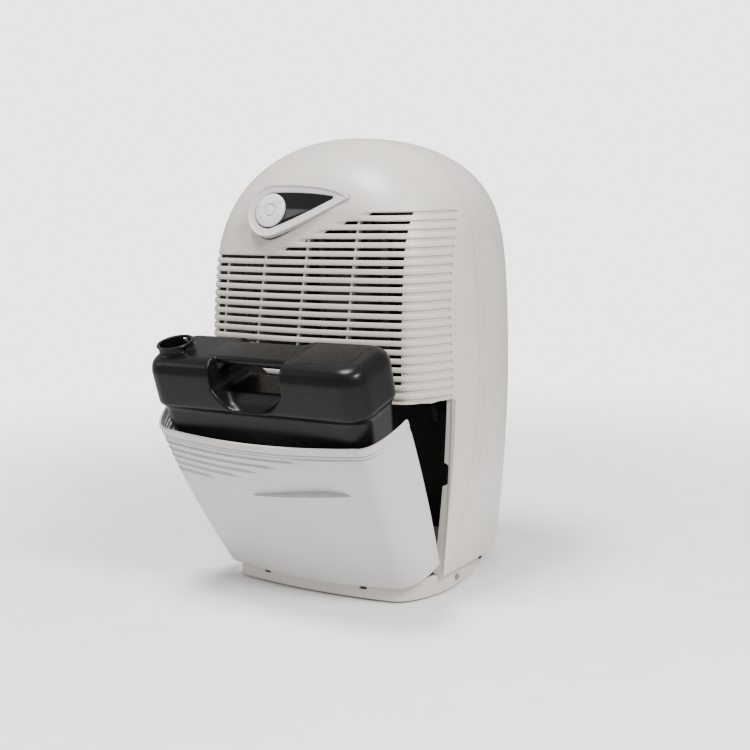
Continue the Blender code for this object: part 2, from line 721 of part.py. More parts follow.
def make_rear_cover():
    """The rear moulding with the opening for the air intake and holes for cord and drain."""
    cover = shell_from("rear_cover", rear_surface, "cream_abs", CASE_WALL, Vector((0.0, 0.0, 0.27)))
    opening = prism("intake_hole", rounded_rectangle(INTAKE_HALF_WIDTH, INTAKE_HALF_HEIGHT, 0.012,
                                                     3, (0.0, INTAKE_Z)),
                    CASE_REAR_Y - 0.03, CASE_REAR_Y + 0.03, "Y")
    boolean(cover, opening)
    for name, x, z, radius in (("cord_hole", CORD_X, CORD_Z, CORD_STEM_RADIUS + 0.0004),
                               ("drain_hole", DRAIN_X, DRAIN_Z, DRAIN_RADIUS + 0.0004)):
        boolean(cover, cylinder(name, radius, 0.04, (x, CASE_REAR_Y, z), "Y", sides=SMALL_SIDES))
    number = 0
    for x in (-REAR_SCREW_X, REAR_SCREW_X):
        for z in (REAR_SCREW_LOW_Z, REAR_SCREW_HIGH_Z):
            number += 1
            make_screw(f"rear_screw_{number}", (x, CASE_REAR_Y + GAP, z), "Y", 1)
    return cover


def make_intake():
    """The clip-on intake grille and the filter that it holds, pulled off straight back."""
    grille = prism("rear_grille", rounded_rectangle(INTAKE_HALF_WIDTH - SLIDE_GAP,
                                                    INTAKE_HALF_HEIGHT - SLIDE_GAP, 0.011, 3,
                                                    (0.0, INTAKE_Z)),
                   CASE_REAR_Y - INTAKE_DEPTH, CASE_REAR_Y + 0.002, "Y", "cream_abs")
    pocket = box("filter_pocket",
                 (-FILTER_HALF_WIDTH - GAP, CASE_REAR_Y - 0.03, INTAKE_Z - FILTER_HALF_HEIGHT - GAP),
                 (FILTER_HALF_WIDTH + GAP, CASE_REAR_Y - 0.003, INTAKE_Z + FILTER_HALF_HEIGHT + GAP))
    boolean(grille, pocket)
    gaps = []
    for row in range(LOUVRES):
        z = INTAKE_Z + (row - (LOUVRES - 1) / 2) * LOUVRE_PITCH
        gaps.append(((-FILTER_HALF_WIDTH + 0.006, CASE_REAR_Y - 0.01, z - LOUVRE_GAP / 2),
                     (FILTER_HALF_WIDTH - 0.006, CASE_REAR_Y + 0.01, z + LOUVRE_GAP / 2)))
    boolean(grille, place("louvres", boxes_mesh("louvres", gaps), "black_abs"))
    box("filter_pad", (-FILTER_HALF_WIDTH, CASE_REAR_Y - INTAKE_DEPTH, INTAKE_Z - FILTER_HALF_HEIGHT),
        (FILTER_HALF_WIDTH, CASE_REAR_Y - INTAKE_DEPTH + 0.0045, INTAKE_Z + FILTER_HALF_HEIGHT),
        "filter_grey")


def make_rear_fittings():
    """The cord's inlet gland and the drain spigot with its plug."""
    smooth(turned("cord_inlet", [(CORD_STEM_RADIUS * 0.55, 0.012), (CORD_STEM_RADIUS, 0.006),
                                 (CORD_FLANGE_RADIUS, 0.0035), (CORD_FLANGE_RADIUS, GAP),
                                 (CORD_STEM_RADIUS, GAP), (CORD_STEM_RADIUS, -0.012)],
                  (CORD_X, CASE_REAR_Y, CORD_Z), "Y", "black_abs", SMALL_SIDES))
    spigot = turned("drain_spigot", [(DRAIN_RADIUS, 0.010), (DRAIN_RADIUS, -0.020)],
                    (DRAIN_X, CASE_REAR_Y, DRAIN_Z), "Y", "white_abs", SMALL_SIDES)
    boolean(spigot, cylinder("spigot_bore", DRAIN_RADIUS - 0.002, 0.08,
                             (DRAIN_X, CASE_REAR_Y, DRAIN_Z), "Y", sides=SMALL_SIDES))
    plug_radius = DRAIN_RADIUS - 0.002 - GAP
    smooth(turned("drain_plug", [(DRAIN_RADIUS, 0.0135), (DRAIN_RADIUS, 0.010 + GAP),
                                 (plug_radius, 0.010 + GAP), (plug_radius, 0.0)],
                  (DRAIN_X, CASE_REAR_Y, DRAIN_Z), "Y", "rubber", SMALL_SIDES))


# ---------------------------------------------------------------- control panel
def bezel_outline(radius, steps=10):
    """Teardrop round the key cluster: a round end, then two long curves to a tip on the right."""
    grow = radius - BEZEL_RADIUS
    tip_x, tip_y = BEZEL_TIP[0] + grow * 1.6, BEZEL_TIP[1]
    outline = arc_points((0.0, 0.0), radius, 95.0, 280.0, 14)
    start, end = outline[-1], outline[0]
    control = (radius * 1.25, -radius * 0.66)
    for step in range(1, steps):
        t = step / steps
        outline.append(tuple(start[i] * (1 - t) ** 2 + control[i] * 2 * t * (1 - t)
                             + (tip_x, tip_y - 0.002)[i] * t ** 2 for i in (0, 1)))
    outline.append((tip_x, tip_y - 0.001))
    outline.append((tip_x, tip_y + 0.001))
    control = (radius * 2.3, radius * 1.02)
    for step in range(1, steps):
        t = step / steps
        outline.append(tuple((tip_x, tip_y + 0.002)[i] * (1 - t) ** 2 + control[i] * 2 * t * (1 - t)
                             + end[i] * t ** 2 for i in (0, 1)))
    return outline


def ring_sector(start, end, inner, outer, steps=8):
    """Outline of one ring key between two angles."""
    outline = arc_points((0.0, 0.0), outer, start, end, steps)
    return outline + arc_points((0.0, 0.0), inner, end, start, steps)


def make_panel(panel):
    """Bezel, display window, the mode button and three ring keys, and the circuit board."""
    back = BEZEL_PROUD - BEZEL_THICK
    bezel = prism("control_bezel", bezel_outline(BEZEL_RADIUS), back, BEZEL_PROUD,
                  finish="white_abs", parent=panel)
    inner = prism("bezel_hole", bezel_outline(BEZEL_RADIUS - BEZEL_RIM), back - 0.01, 0.02,
                  parent=panel)
    boolean(bezel, inner)
    window = prism("display_window", bezel_outline(BEZEL_RADIUS - BEZEL_RIM - GAP), back,
                   BEZEL_PROUD - 0.0012, finish="window_black", parent=panel)
    ring = cylinder("key_well", KEY_RADIUS + KEY_RING_GAP, 0.05, (0, 0, 0), sides=48, parent=panel)
    boolean(window, ring)
    key_back = BEZEL_PROUD + 0.0005 - KEY_THICK
    smooth(cylinder("mode_button", MODE_RADIUS, KEY_THICK,
                    (0, 0, key_back + KEY_THICK / 2), finish="key_grey", sides=24, parent=panel))
    half_line = math.degrees(KEY_LINE / 2 / ((MODE_RADIUS + KEY_RADIUS) / 2))
    for number, start in enumerate(KEY_SPLITS):
        end = KEY_SPLITS[(number + 1) % len(KEY_SPLITS)]
        end += 360.0 if end < start else 0.0
        prism(f"ring_key_{number + 1}",
              ring_sector(start + half_line, end - half_line, MODE_RADIUS + KEY_LINE, KEY_RADIUS),
              key_back, key_back + KEY_THICK, finish="key_grey", parent=panel)
    box("control_board", (-0.026, -0.022, back - 0.0145), (0.062, 0.020, back - 0.0129),
        "circuit_green", panel)


# ---------------------------------------------------------------- bucket door
def door_plan_y(x, z):
    """Depth of the door's outer face: flush with the case front, with a fuller corner."""
    wide = case_half_width(z)
    edge = wide - CORNER_INSET
    rear = parting_y(z)
    if abs(x) <= edge:
        return front_y(x, z)
    share = min((abs(x) - edge) / CORNER_INSET, 1.0)
    depth = rear - front_y(edge, z)
    return rear - depth * (1 - share ** DOOR_CORNER_POWER) ** (1 / DOOR_CORNER_POWER)


def door_half_width(z):
    """Half width of the door at its wings' rear edges, found by bisection."""
    low, high = case_half_width(z) - CORNER_INSET, case_half_width(z)
    for _ in range(30):
        middle = (low + high) / 2
        if door_plan_y(middle, z) < DOOR_REAR_Y:
            low = middle
        else:
            high = middle
    return low


def door_row(z):
    """Points across the door at one height, from the left wing's edge to the right one's."""
    wide = door_half_width(z)
    edge = case_half_width(z) - CORNER_INSET
    right = [edge * step / 6 for step in range(7)]
    corner = [edge + (wide - edge) * math.sin(math.pi / 2 * step / 7) for step in range(1, 8)]
    xs = right + corner
    xs = [-x for x in reversed(xs[1:])] + xs
    return [(x, door_plan_y(x, z), z) for x in xs]


def door_surface(bm):
    """The open outer surface of the bucket door."""
    heights = np.linspace(DOOR_BOTTOM_Z, DOOR_TOP_Z, 9)
    rows = [[bm.verts.new(point) for point in door_row(z)] for z in heights]
    bridge_rings(bm, rows, closed=False)


def make_door(empty):
    """The tilting bucket door, its shelf for the tank and the lugs that turn on the pins."""
    door = shell_from("bucket_door", door_surface, "white_abs", DOOR_WALL, Vector((0, 0.1, 0.13)))
    wide = case_half_width(DOOR_FLOOR_Z) - BAY_SIDE_INSET - SHELF_SIDE_GAP
    outline = [(x, y + DOOR_WALL * 0.6) for x, y, _ in door_row(DOOR_FLOOR_Z) if abs(x) < wide]
    outline += [(wide, DOOR_REAR_Y), (wide, DOOR_SHELF_REAR_Y)]
    outline += [(-wide, DOOR_SHELF_REAR_Y), (-wide, DOOR_REAR_Y)]
    shelf = prism("door_shelf", outline, DOOR_FLOOR_Z, DOOR_FLOOR_Z + DOOR_WALL)
    boolean(door, shelf, "UNION")
    hang(shelf, empty)
    for side in (-1, 1):
        lug = box("door_lug", (side * HINGE_X - HINGE_LUG_WIDTH / 2, DOOR_HINGE_Y - HINGE_LUG_RADIUS,
                               DOOR_HINGE_Z - HINGE_LUG_RADIUS),
                  (side * HINGE_X + HINGE_LUG_WIDTH / 2, DOOR_HINGE_Y + HINGE_LUG_RADIUS,
                   DOOR_FLOOR_Z + 0.001))
        hang(lug, empty)
        boolean(door, lug, "UNION")
    bore = cylinder("lug_bore", HINGE_PIN_RADIUS + 0.0004, 0.4, (0, DOOR_HINGE_Y, DOOR_HINGE_Z), "X",
                    sides=SMALL_SIDES)
    hang(bore, empty)
    boolean(door, bore)
    return hang(door, empty)


# ---------------------------------------------------------------- water tank
def tank_section(z, inset, narrow=0.0):
    """Rounded plan of the tank at a height above its foot."""
    half_width = TANK_HALF_WIDTH - inset - narrow
    half_depth = TANK_DEPTH / 2 - inset
    radius = TANK_CORNER + max(0.004 - inset, -0.006) * 0.5
    outline = rounded_rectangle(half_width, half_depth, radius, 5)
    return [(x, y + TANK_SEAT_Y, z + TANK_SEAT_Z) for x, y in outline]


def tank_sections(wall):
    """Sections from the tank's underside to its top, set in by a wall."""
    waist = TANK_WAIST_INSET
    stations = [(0.0, 0.021), (0.005, 0.0135), (0.014, 0.0095), (0.030, 0.0065), (TANK_WAIST_Z, waist),
                (TANK_WAIST_Z + 0.005, 0.0), (TANK_HEIGHT - 0.018, 0.0),
                (TANK_HEIGHT - 0.007, 0.003), (TANK_HEIGHT - 0.002, 0.009), (TANK_HEIGHT, 0.016)]
    sections = []
    for z, inset in stations:
        foot = max(0.0, 1.0 - z / TANK_WAIST_Z)
        level = wall + z * (TANK_HEIGHT - 2 * wall) / TANK_HEIGHT
        sections.append(tank_section(level, inset + wall, TANK_FOOT_TAPER * foot))
    return sections


def make_tank(empty):
    """The blow-moulded water tank: hollow, open at its neck, with a bridge handle."""
    seat = Vector((0.0, TANK_SEAT_Y, TANK_SEAT_Z))
    tank = loft("tank", tank_sections(0.0), "black_tank")
    tools = []

    def cut(tool):
        tools.append(tool)
        boolean(tank, tool)

    for front in (-1, 1):
        low = HANDLE_LEFT_X + SCOOP_NARROWING, HANDLE_RIGHT_X - SCOOP_NARROWING
        near, far = front * HANDLE_HALF_DEPTH, front * (TANK_DEPTH / 2 + 0.02)
        foot = front * (TANK_DEPTH / 2 - TANK_WAIST_INSET + 0.001)
        sections = []
        for (left, right), z, inner in ((low, SCOOP_LOW_Z, foot),
                                        ((HANDLE_LEFT_X, HANDLE_RIGHT_X), HANDLE_GAP_LOW_Z, near),
                                        ((HANDLE_LEFT_X, HANDLE_RIGHT_X), TANK_HEIGHT + 0.01, near)):
            sections.append([seat + Vector(point) for point in (
                (left, inner, z), (right, inner, z), (right, far, z), (left, far, z))])
        cut(loft("scoop", sections, "black_abs"))
    slot = rounded_rectangle((HANDLE_RIGHT_X - HANDLE_LEFT_X) / 2,
                             (HANDLE_GAP_HIGH_Z - HANDLE_GAP_LOW_Z) / 2, 0.012, 3,
                             ((HANDLE_RIGHT_X + HANDLE_LEFT_X) / 2,
                              (HANDLE_GAP_HIGH_Z + HANDLE_GAP_LOW_Z) / 2))
    slot = [(x, z + TANK_SEAT_Z) for x, z in slot]
    cut(prism("finger_gap", slot, TANK_SEAT_Y - 0.03, TANK_SEAT_Y + 0.03, "Y"))
    neck = cylinder("neck", NECK_RADIUS, 0.030, seat + Vector((NECK_X, NECK_Y, NECK_TOP_Z - 0.015)),
                    sides=24)
    tools.append(neck)
    boolean(tank, neck, "UNION")
    hollow_top = SCOOP_LOW_Z - TANK_WALL
    lower = [section for section in tank_sections(TANK_WALL)
             if section[0][2] < TANK_SEAT_Z + TANK_WAIST_Z]
    top = [(x, y, TANK_SEAT_Z + hollow_top) for x, y, _ in lower[-1]]
    cut(loft("hollow_low", lower + [top], "black_abs"))
    for left, right in ((-TANK_HALF_WIDTH + TANK_WALL, HANDLE_LEFT_X - TANK_WALL),
                        (HANDLE_RIGHT_X + TANK_WALL, TANK_HALF_WIDTH - TANK_WALL)):
        half_depth = TANK_DEPTH / 2 - TANK_WALL
        plan = rounded_rectangle((right - left) / 2, half_depth, 0.016, 4, ((left + right) / 2, 0))
        sections = []
        for z, inset in ((hollow_top - 0.003, TANK_WAIST_INSET), (hollow_top + 0.006, 0.0),
                         (TANK_HEIGHT - 0.018, 0.001), (TANK_HEIGHT - 0.006, 0.008)):
            middle = (left + right) / 2
            shrink_x = 1 - inset / ((right - left) / 2)
            shrink_y = 1 - inset / half_depth
            sections.append([seat + Vector((middle + (x - middle) * shrink_x, y * shrink_y, z))
                             for x, y in plan])
        cut(loft("hollow_tower", sections, "black_abs"))
    cut(cylinder("neck_bore", NECK_BORE, 0.040, seat + Vector((NECK_X, NECK_Y, NECK_TOP_Z)),
                 sides=24))
    for tool in tools:
        hang(tool, empty)
    return hang(tank, empty)


# ---------------------------------------------------------------- tank bay and deck
def bay_row(z):
    """Plan of the tank bay's wall at a height, from its left front edge round to the right."""
    wide = case_half_width(z) - BAY_SIDE_INSET
    left = [(-wide, BAY_FRONT_Y)]
    for x, y in arc_points((-wide + BAY_CORNER, BAY_REAR_Y - BAY_CORNER), BAY_CORNER, 180, 90, 4):
        left.append((x, y))
    return [(x, y, z) for x, y in left + [(-x, y) for x, y in reversed(left)]]


def bay_surface(bm):
    """The open inner surface of the tank bay."""
    heights = np.linspace(BASE_TOP_Z + GAP, DECK_Z - GAP, 6)
    bridge_rings(bm, [[bm.verts.new(point) for point in bay_row(z)] for z in heights], False)


def make_bay():
    """The liner behind the tank, the deck over it and the tank's full switch."""
    bm = bmesh.new()
    bay_surface(bm)
    bmesh.ops.recalc_face_normals(bm, faces=bm.faces)
    if sum(face.normal.dot(face.calc_center_median() - Vector((0, -0.1, 0.13)))
           for face in bm.faces) < 0:
        bmesh.ops.reverse_faces(bm, faces=bm.faces)
    mesh = bpy.data.meshes.new("tank_bay")
    bm.to_mesh(mesh)
    bm.free()
    bay = place("tank_bay", mesh, "black_abs")
    wall = bay.modifiers.new("wall", "SOLIDIFY")
    wall.thickness = BAY_WALL
    wall.offset = 1.0
    deck_outline = rounded_rectangle(DECK_HALF_WIDTH, (DECK_REAR_Y - BAY_FRONT_Y) / 2, 0.03, 4,
                                     (0.0, (DECK_REAR_Y + BAY_FRONT_Y) / 2))
    deck = prism("deck", deck_outline, DECK_Z, DECK_Z + DECK_THICK, finish="black_abs")
    boolean(deck, box("pipe_slot", (PIPE_SLOT_X - 0.016, DECK_REAR_Y - 0.040, DECK_Z - 0.01),
                      (PIPE_SLOT_X + 0.016, DECK_REAR_Y - 0.012, DECK_Z + 0.01)))
    switch_y = BAY_REAR_Y - 0.0005
    box("tank_switch", (SWITCH_X - 0.010, switch_y - 0.010, SWITCH_Z - 0.006),
        (SWITCH_X + 0.010, switch_y, SWITCH_Z + 0.006), "black_abs", round_by=0.0006)
    hinge = pivot("switch_pivot", (SWITCH_X, switch_y - 0.012, SWITCH_Z + 0.005))
    lever = box("switch_lever", (SWITCH_X - 0.003, switch_y - 0.0125, SWITCH_Z - 0.014),
                (SWITCH_X + 0.003, switch_y - 0.0115, SWITCH_Z + 0.006), "steel")
    hang(lever, hinge)


# ---------------------------------------------------------------- refrigeration and fan
def make_coils():
    """The condenser and evaporator blocks, the tray under them and the spout to the tank."""
    for name, y in (("condenser_coil", CONDENSER_Y), ("evaporator_coil", EVAPORATOR_Y)):
        box(name, (-COIL_HALF_WIDTH, y - COIL_DEPTH / 2, COIL_LOW_Z),
            (COIL_HALF_WIDTH, y + COIL_DEPTH / 2, COIL_HIGH_Z), "aluminium")
    floor = DECK_Z + DECK_THICK + GAP
    tray = box("drip_tray", (-COIL_HALF_WIDTH - 0.006, CONDENSER_Y - COIL_DEPTH / 2, floor),
               (COIL_HALF_WIDTH + 0.006, EVAPORATOR_Y + COIL_DEPTH / 2, COIL_LOW_Z - GAP),
               "black_abs")
    boolean(tray, box("tray_hollow", (-COIL_HALF_WIDTH - 0.004, CONDENSER_Y - COIL_DEPTH / 2 + 0.002,
                                      floor + 0.002),
                      (COIL_HALF_WIDTH + 0.004, EVAPORATOR_Y + COIL_DEPTH / 2 - 0.002, 0.3)))
    spout_y = TANK_SEAT_Y + NECK_Y
    left = NECK_X - 0.008
    trough = box("drip_trough", (left, spout_y - 0.008, floor),
                 (left + 0.016, CONDENSER_Y - COIL_DEPTH / 2 - 0.008, floor + 0.010), "black_abs")
    nozzle = box("trough_nozzle", (left, spout_y - 0.008, DOOR_TOP_Z - 0.004),
                 (left + 0.016, spout_y + 0.008, floor + 0.001))
    boolean(trough, nozzle, "UNION")
    boolean(trough, box("trough_hollow", (left + 0.002, spout_y - 0.006, floor + 0.002),
                        (left + 0.014, 0.2, floor + 0.05)))
    boolean(trough, box("nozzle_hollow", (left + 0.002, spout_y - 0.006, 0.2),
                        (left + 0.014, spout_y + 0.006, floor + 0.05)))


def fan_blade_tool(number):
    """One pitched blade of the fan, as a lofted solid from the hub to the tip."""
    sections = []
    for radius, chord, pitch in ((FAN_HUB_RADIUS - 0.003, 0.034, 42.0), (0.055, 0.046, 30.0),
                                 (FAN_RADIUS, 0.052, 22.0)):
        lift = math.sin(math.radians(pitch)) * chord / 2
        sweep = math.cos(math.radians(pitch)) * chord / 2
        section = []
        for u, v in ((-1, -1), (1, -1), (1, 1), (-1, 1)):
            angle = math.radians(360.0 * number / FAN_BLADES) + u * sweep / radius
            section.append((radius * math.cos(angle), FAN_CENTRE_Y + u * lift + v * BLADE_HALF_THICK,
                            FAN_CENTRE_Z + radius * math.sin(angle)))
        sections.append(section)
    return loft("blade", sections, "white_abs")


def make_fan():
    """Motor on its bracket, shaft, five-bladed fan and the shroud round it."""
    hub_length = FAN_DEPTH
    fan = cylinder("fan_blade", FAN_HUB_RADIUS, hub_length, (0, FAN_CENTRE_Y, FAN_CENTRE_Z), "Y",
                   "white_abs", 24)
    for number in range(FAN_BLADES):
        boolean(fan, fan_blade_tool(number), "UNION")
    motor_rear = FAN_CENTRE_Y - hub_length / 2 - 0.006
    motor_front = motor_rear - MOTOR_LENGTH
    motor = turned("fan_motor", [(MOTOR_RADIUS - 0.006, MOTOR_LENGTH / 2),
                                 (MOTOR_RADIUS, MOTOR_LENGTH / 2 - 0.006),
                                 (MOTOR_RADIUS, -MOTOR_LENGTH / 2 + 0.006),
                                 (MOTOR_RADIUS - 0.006, -MOTOR_LENGTH / 2)],
                   (0, (motor_front + motor_rear) / 2, FAN_CENTRE_Z), "Y", "motor_grey", 24)
    boolean(motor, cylinder("motor_bore", SHAFT_RADIUS + 0.0004, 0.040,
                            (0, motor_rear, FAN_CENTRE_Z), "Y", sides=SMALL_SIDES))
    shaft_front = motor_rear - 0.018
    shaft_rear = FAN_CENTRE_Y - hub_length / 2 - GAP
    cylinder("fan_shaft", SHAFT_RADIUS, shaft_rear - shaft_front,
             (0, (shaft_front + shaft_rear) / 2, FAN_CENTRE_Z), "Y", "steel", SMALL_SIDES)
    make_motor_bracket((motor_front + motor_rear) / 2)
    make_shroud()


def make_motor_bracket(y):
    """Two upright posts joined by a strap that wraps the motor."""
    ring_radius = MOTOR_RADIUS + 0.004
    strap = cylinder("motor_bracket", ring_radius, 0.010, (0, y, FAN_CENTRE_Z), "Y", "galvanised", 24)
    foot = DECK_Z + DECK_THICK + GAP
    for side in (-1, 1):
        x = side * (ring_radius + 0.002)
        boolean(strap, box("post", (x - 0.005, y - 0.005, foot), (x + 0.005, y + 0.005, COIL_HIGH_Z)),
                "UNION")
        boolean(strap, box("toe", (x - 0.012, y - 0.012, foot), (x + 0.012, y + 0.012, foot + 0.002)),
                "UNION")
    boolean(strap, box("tie", (-ring_radius - 0.007, y - 0.0045, COIL_HIGH_Z - 0.008),
                       (ring_radius + 0.007, y + 0.0045, COIL_HIGH_Z - 0.001)), "UNION")
    boolean(strap, cylinder("motor_seat", MOTOR_RADIUS + GAP, 0.05, (0, y, FAN_CENTRE_Z), "Y",
                            sides=24))


def make_shroud():
    """The plate in front of the coils with a round orifice that the fan turns in."""
    low, high = DECK_Z + DECK_THICK + GAP, COIL_HIGH_Z + 0.006
    rear = CONDENSER_Y - COIL_DEPTH / 2 - GAP
    plate = box("fan_shroud", (-COIL_HALF_WIDTH - 0.004, rear - 0.003, low),
                (COIL_HALF_WIDTH + 0.004, rear, high), "black_abs")
    radius = FAN_RADIUS + FAN_TIP_GAP
    duct_front = FAN_CENTRE_Y - FAN_DEPTH / 2
    duct = cylinder("duct", radius + 0.002, rear - 0.001 - duct_front,
                    (0, (rear - 0.001 + duct_front) / 2, FAN_CENTRE_Z), "Y", sides=40)
    boolean(plate, duct, "UNION")
    boolean(plate, cylinder("orifice", radius, 0.12, (0, rear, FAN_CENTRE_Z), "Y", sides=40))


def make_compressor():
    """The sealed compressor on its plate and three rubber mounts, with what stands beside it."""
    floor = BASE_UNDERSIDE_Z + BASE_WALL
    plate_z = floor + GROMMET_HEIGHT + GAP
    prism("compressor_plate", rounded_rectangle(PLATE_HALF, PLATE_HALF, 0.018, 3, (0, COMPRESSOR_Y)),
          plate_z, plate_z + PLATE_THICK, finish="galvanised")
    for number, (x, y) in enumerate(((-0.045, COMPRESSOR_Y - 0.043), (0.045, COMPRESSOR_Y - 0.043),
                                     (0.0, COMPRESSOR_Y + 0.046))):
        smooth(cylinder(f"compressor_mount_{number + 1}", 0.009, GROMMET_HEIGHT,
                        (x, y, floor + GAP / 2 + GROMMET_HEIGHT / 2), "Z", "rubber", SMALL_SIDES))
    bottom = plate_z + PLATE_THICK + GAP
    radius, top = COMPRESSOR_RADIUS, COMPRESSOR_HIGH_Z
    profile = [(0.012, top), (radius * 0.62, top - 0.005), (radius * 0.9, top - 0.018),
               (radius, top - 0.036), (radius, top - 0.060), (radius + 0.003, top - 0.062),
               (radius + 0.003, top - 0.068), (radius, top - 0.070), (radius, bottom + 0.022),
               (radius * 0.85, bottom + 0.006), (radius * 0.6, bottom)]
    smooth(turned("compressor", profile, (0, COMPRESSOR_Y, 0), "Z", "compressor_black"))
    box("terminal_cover", (-radius - 0.025, COMPRESSOR_Y - 0.020, 0.085),
        (-radius - 0.004, COMPRESSOR_Y + 0.020, 0.130), "black_abs", round_by=0.002)
    smooth(turned("accumulator", [(0.006, 0.150), (0.015, 0.142), (0.017, 0.134), (0.017, 0.076),
                                  (0.015, 0.068), (0.006, 0.060)],
                  (ACCUMULATOR_X, ACCUMULATOR_Y, 0), "Z", "compressor_black", 20))
    smooth(cylinder("run_capacitor", 0.017, 0.060, (-0.098, 0.030, floor + GAP + 0.030), "Z",
                    "aluminium", 20))


def make_pipes():
    """Copper lines between the compressor, the accumulator and the two coils."""
    coil_side = COIL_HALF_WIDTH + GAP
    slot_y = DECK_REAR_Y - 0.026
    outer, inner = PIPE_SLOT_X + 0.006, PIPE_SLOT_X - 0.007
    pipe("suction_pipe", smooth_route([(coil_side, EVAPORATOR_Y, 0.330),
                                       (outer, EVAPORATOR_Y, 0.330),
                                       (outer, slot_y, 0.300),
                                       (outer, slot_y, 0.200),
                                       (ACCUMULATOR_X, ACCUMULATOR_Y, 0.190),
                                       (ACCUMULATOR_X, ACCUMULATOR_Y, 0.1504)], 0.014), PIPE_RADIUS)
    pipe("discharge_pipe", smooth_route([(0.0, COMPRESSOR_Y, COMPRESSOR_HIGH_Z + GAP),
                                         (0.0, COMPRESSOR_Y, 0.215),
                                         (inner, slot_y, 0.215),
                                         (inner, slot_y, 0.290),
                                         (inner, CONDENSER_Y, 0.310),
                                         (coil_side, CONDENSER_Y, 0.310)], 0.014), PIPE_RADIUS * 0.8)


def build_all():
    """Build the sub-assemblies in the order they go together."""
    door, tank, panel = make_pivots()
    make_base()
    make_front_cover(panel)
    make_rear_cover()
    make_intake()
    make_rear_fittings()
    make_panel(panel)
    make_bay()
    make_coils()
    make_fan()
    make_compressor()
    make_pipes()
    make_door(door)
    make_tank(tank)


build_all()
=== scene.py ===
"""Looks of an upright dehumidifier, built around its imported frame.

Metres, +Z up.  The front of the machine faces -Y.  Each sub-assembly is a class that holds its sizes
and builds, dresses and hangs its own pieces; main() builds them in order.
"""
from __future__ import annotations

import json
import logging
import math
from dataclasses import dataclass
from enum import Enum

import bmesh
import bpy
import numpy as np
from mathutils import Matrix, Vector

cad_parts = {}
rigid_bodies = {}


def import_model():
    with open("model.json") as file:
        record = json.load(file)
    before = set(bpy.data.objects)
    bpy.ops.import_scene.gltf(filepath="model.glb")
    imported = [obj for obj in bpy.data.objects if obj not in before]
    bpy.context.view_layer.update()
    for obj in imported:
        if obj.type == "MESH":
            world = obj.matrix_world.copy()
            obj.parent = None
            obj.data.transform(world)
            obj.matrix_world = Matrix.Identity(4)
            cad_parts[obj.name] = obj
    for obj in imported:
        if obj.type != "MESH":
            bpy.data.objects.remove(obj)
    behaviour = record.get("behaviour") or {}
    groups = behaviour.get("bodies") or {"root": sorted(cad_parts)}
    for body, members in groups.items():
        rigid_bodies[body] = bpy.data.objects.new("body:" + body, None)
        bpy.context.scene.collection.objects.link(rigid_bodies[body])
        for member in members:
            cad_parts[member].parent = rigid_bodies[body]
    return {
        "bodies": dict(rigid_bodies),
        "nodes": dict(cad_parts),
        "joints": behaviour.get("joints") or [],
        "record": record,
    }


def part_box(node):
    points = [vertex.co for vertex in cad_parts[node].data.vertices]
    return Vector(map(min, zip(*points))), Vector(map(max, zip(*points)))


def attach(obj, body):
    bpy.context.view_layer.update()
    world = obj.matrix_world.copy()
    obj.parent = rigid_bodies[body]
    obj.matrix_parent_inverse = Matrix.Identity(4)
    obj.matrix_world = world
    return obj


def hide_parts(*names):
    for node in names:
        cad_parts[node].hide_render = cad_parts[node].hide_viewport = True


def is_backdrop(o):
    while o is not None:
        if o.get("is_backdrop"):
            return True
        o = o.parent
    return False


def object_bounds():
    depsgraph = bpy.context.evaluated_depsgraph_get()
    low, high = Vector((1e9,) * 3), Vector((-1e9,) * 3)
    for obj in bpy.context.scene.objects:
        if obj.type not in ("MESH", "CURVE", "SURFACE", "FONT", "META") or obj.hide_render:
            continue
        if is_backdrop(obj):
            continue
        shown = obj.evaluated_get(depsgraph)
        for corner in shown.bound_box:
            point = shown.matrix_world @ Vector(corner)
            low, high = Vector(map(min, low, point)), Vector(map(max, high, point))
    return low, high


LOG = logging.getLogger("dehumidifier")
MM = 0.001
LIMITS = {"low": np.full(3, -9.0), "high": np.full(3, 9.0)}   # the frame's box, which no piece leaves


# ---------------------------------------------------------------- node trees
def add_node(tree: bpy.types.NodeTree, kind: str, links: dict | None = None,
             **settings: object) -> bpy.types.Node:
    """Add a node with its settings and links.

    Args:
        tree: The node tree it goes into.
        kind: Blender's name for the node.
        links: What each input takes, by name or number: a socket to link, or a value.
        settings: Properties of the node.

    Returns:
        The new node.
    """
    node = tree.nodes.new(kind)
    for key, value in settings.items():
        setattr(node, key, value)
    for key, value in (links or {}).items():
        if isinstance(value, bpy.types.NodeSocket):
            tree.links.new(value, node.inputs[key])
        else:
            node.inputs[key].default_value = value
    return node


def linear(code: str) -> tuple[float, float, float, float]:
    """Turn an sRGB hex colour into linear values.

    Args:
        code: Six hex digits, with or without a leading hash.

    Returns:
        Red, green, blue and an alpha of one.
    """
    digits = code.lstrip("#")
    parts = [int(digits[i:i + 2], 16) / 255 for i in (0, 2, 4)]
    made = [p / 12.92 if p <= 0.04045 else ((p + 0.055) / 1.055) ** 2.4 for p in parts]
    return (made[0], made[1], made[2], 1.0)


class Grain(Enum):
    """How a surface was made, which sets the pattern that its material draws."""

    MOULDED = "moulded"    # fine even texture of a spark-eroded mould
    BLOWN = "blown"        # blow-moulded: soft waves with fine scuffs over them
    DRAWN = "drawn"        # lines along one direction, as on drawn or rolled metal
    CELLS = "cells"        # open cells, as in foam
    FINS = "fins"          # the edges of a stack of thin plates


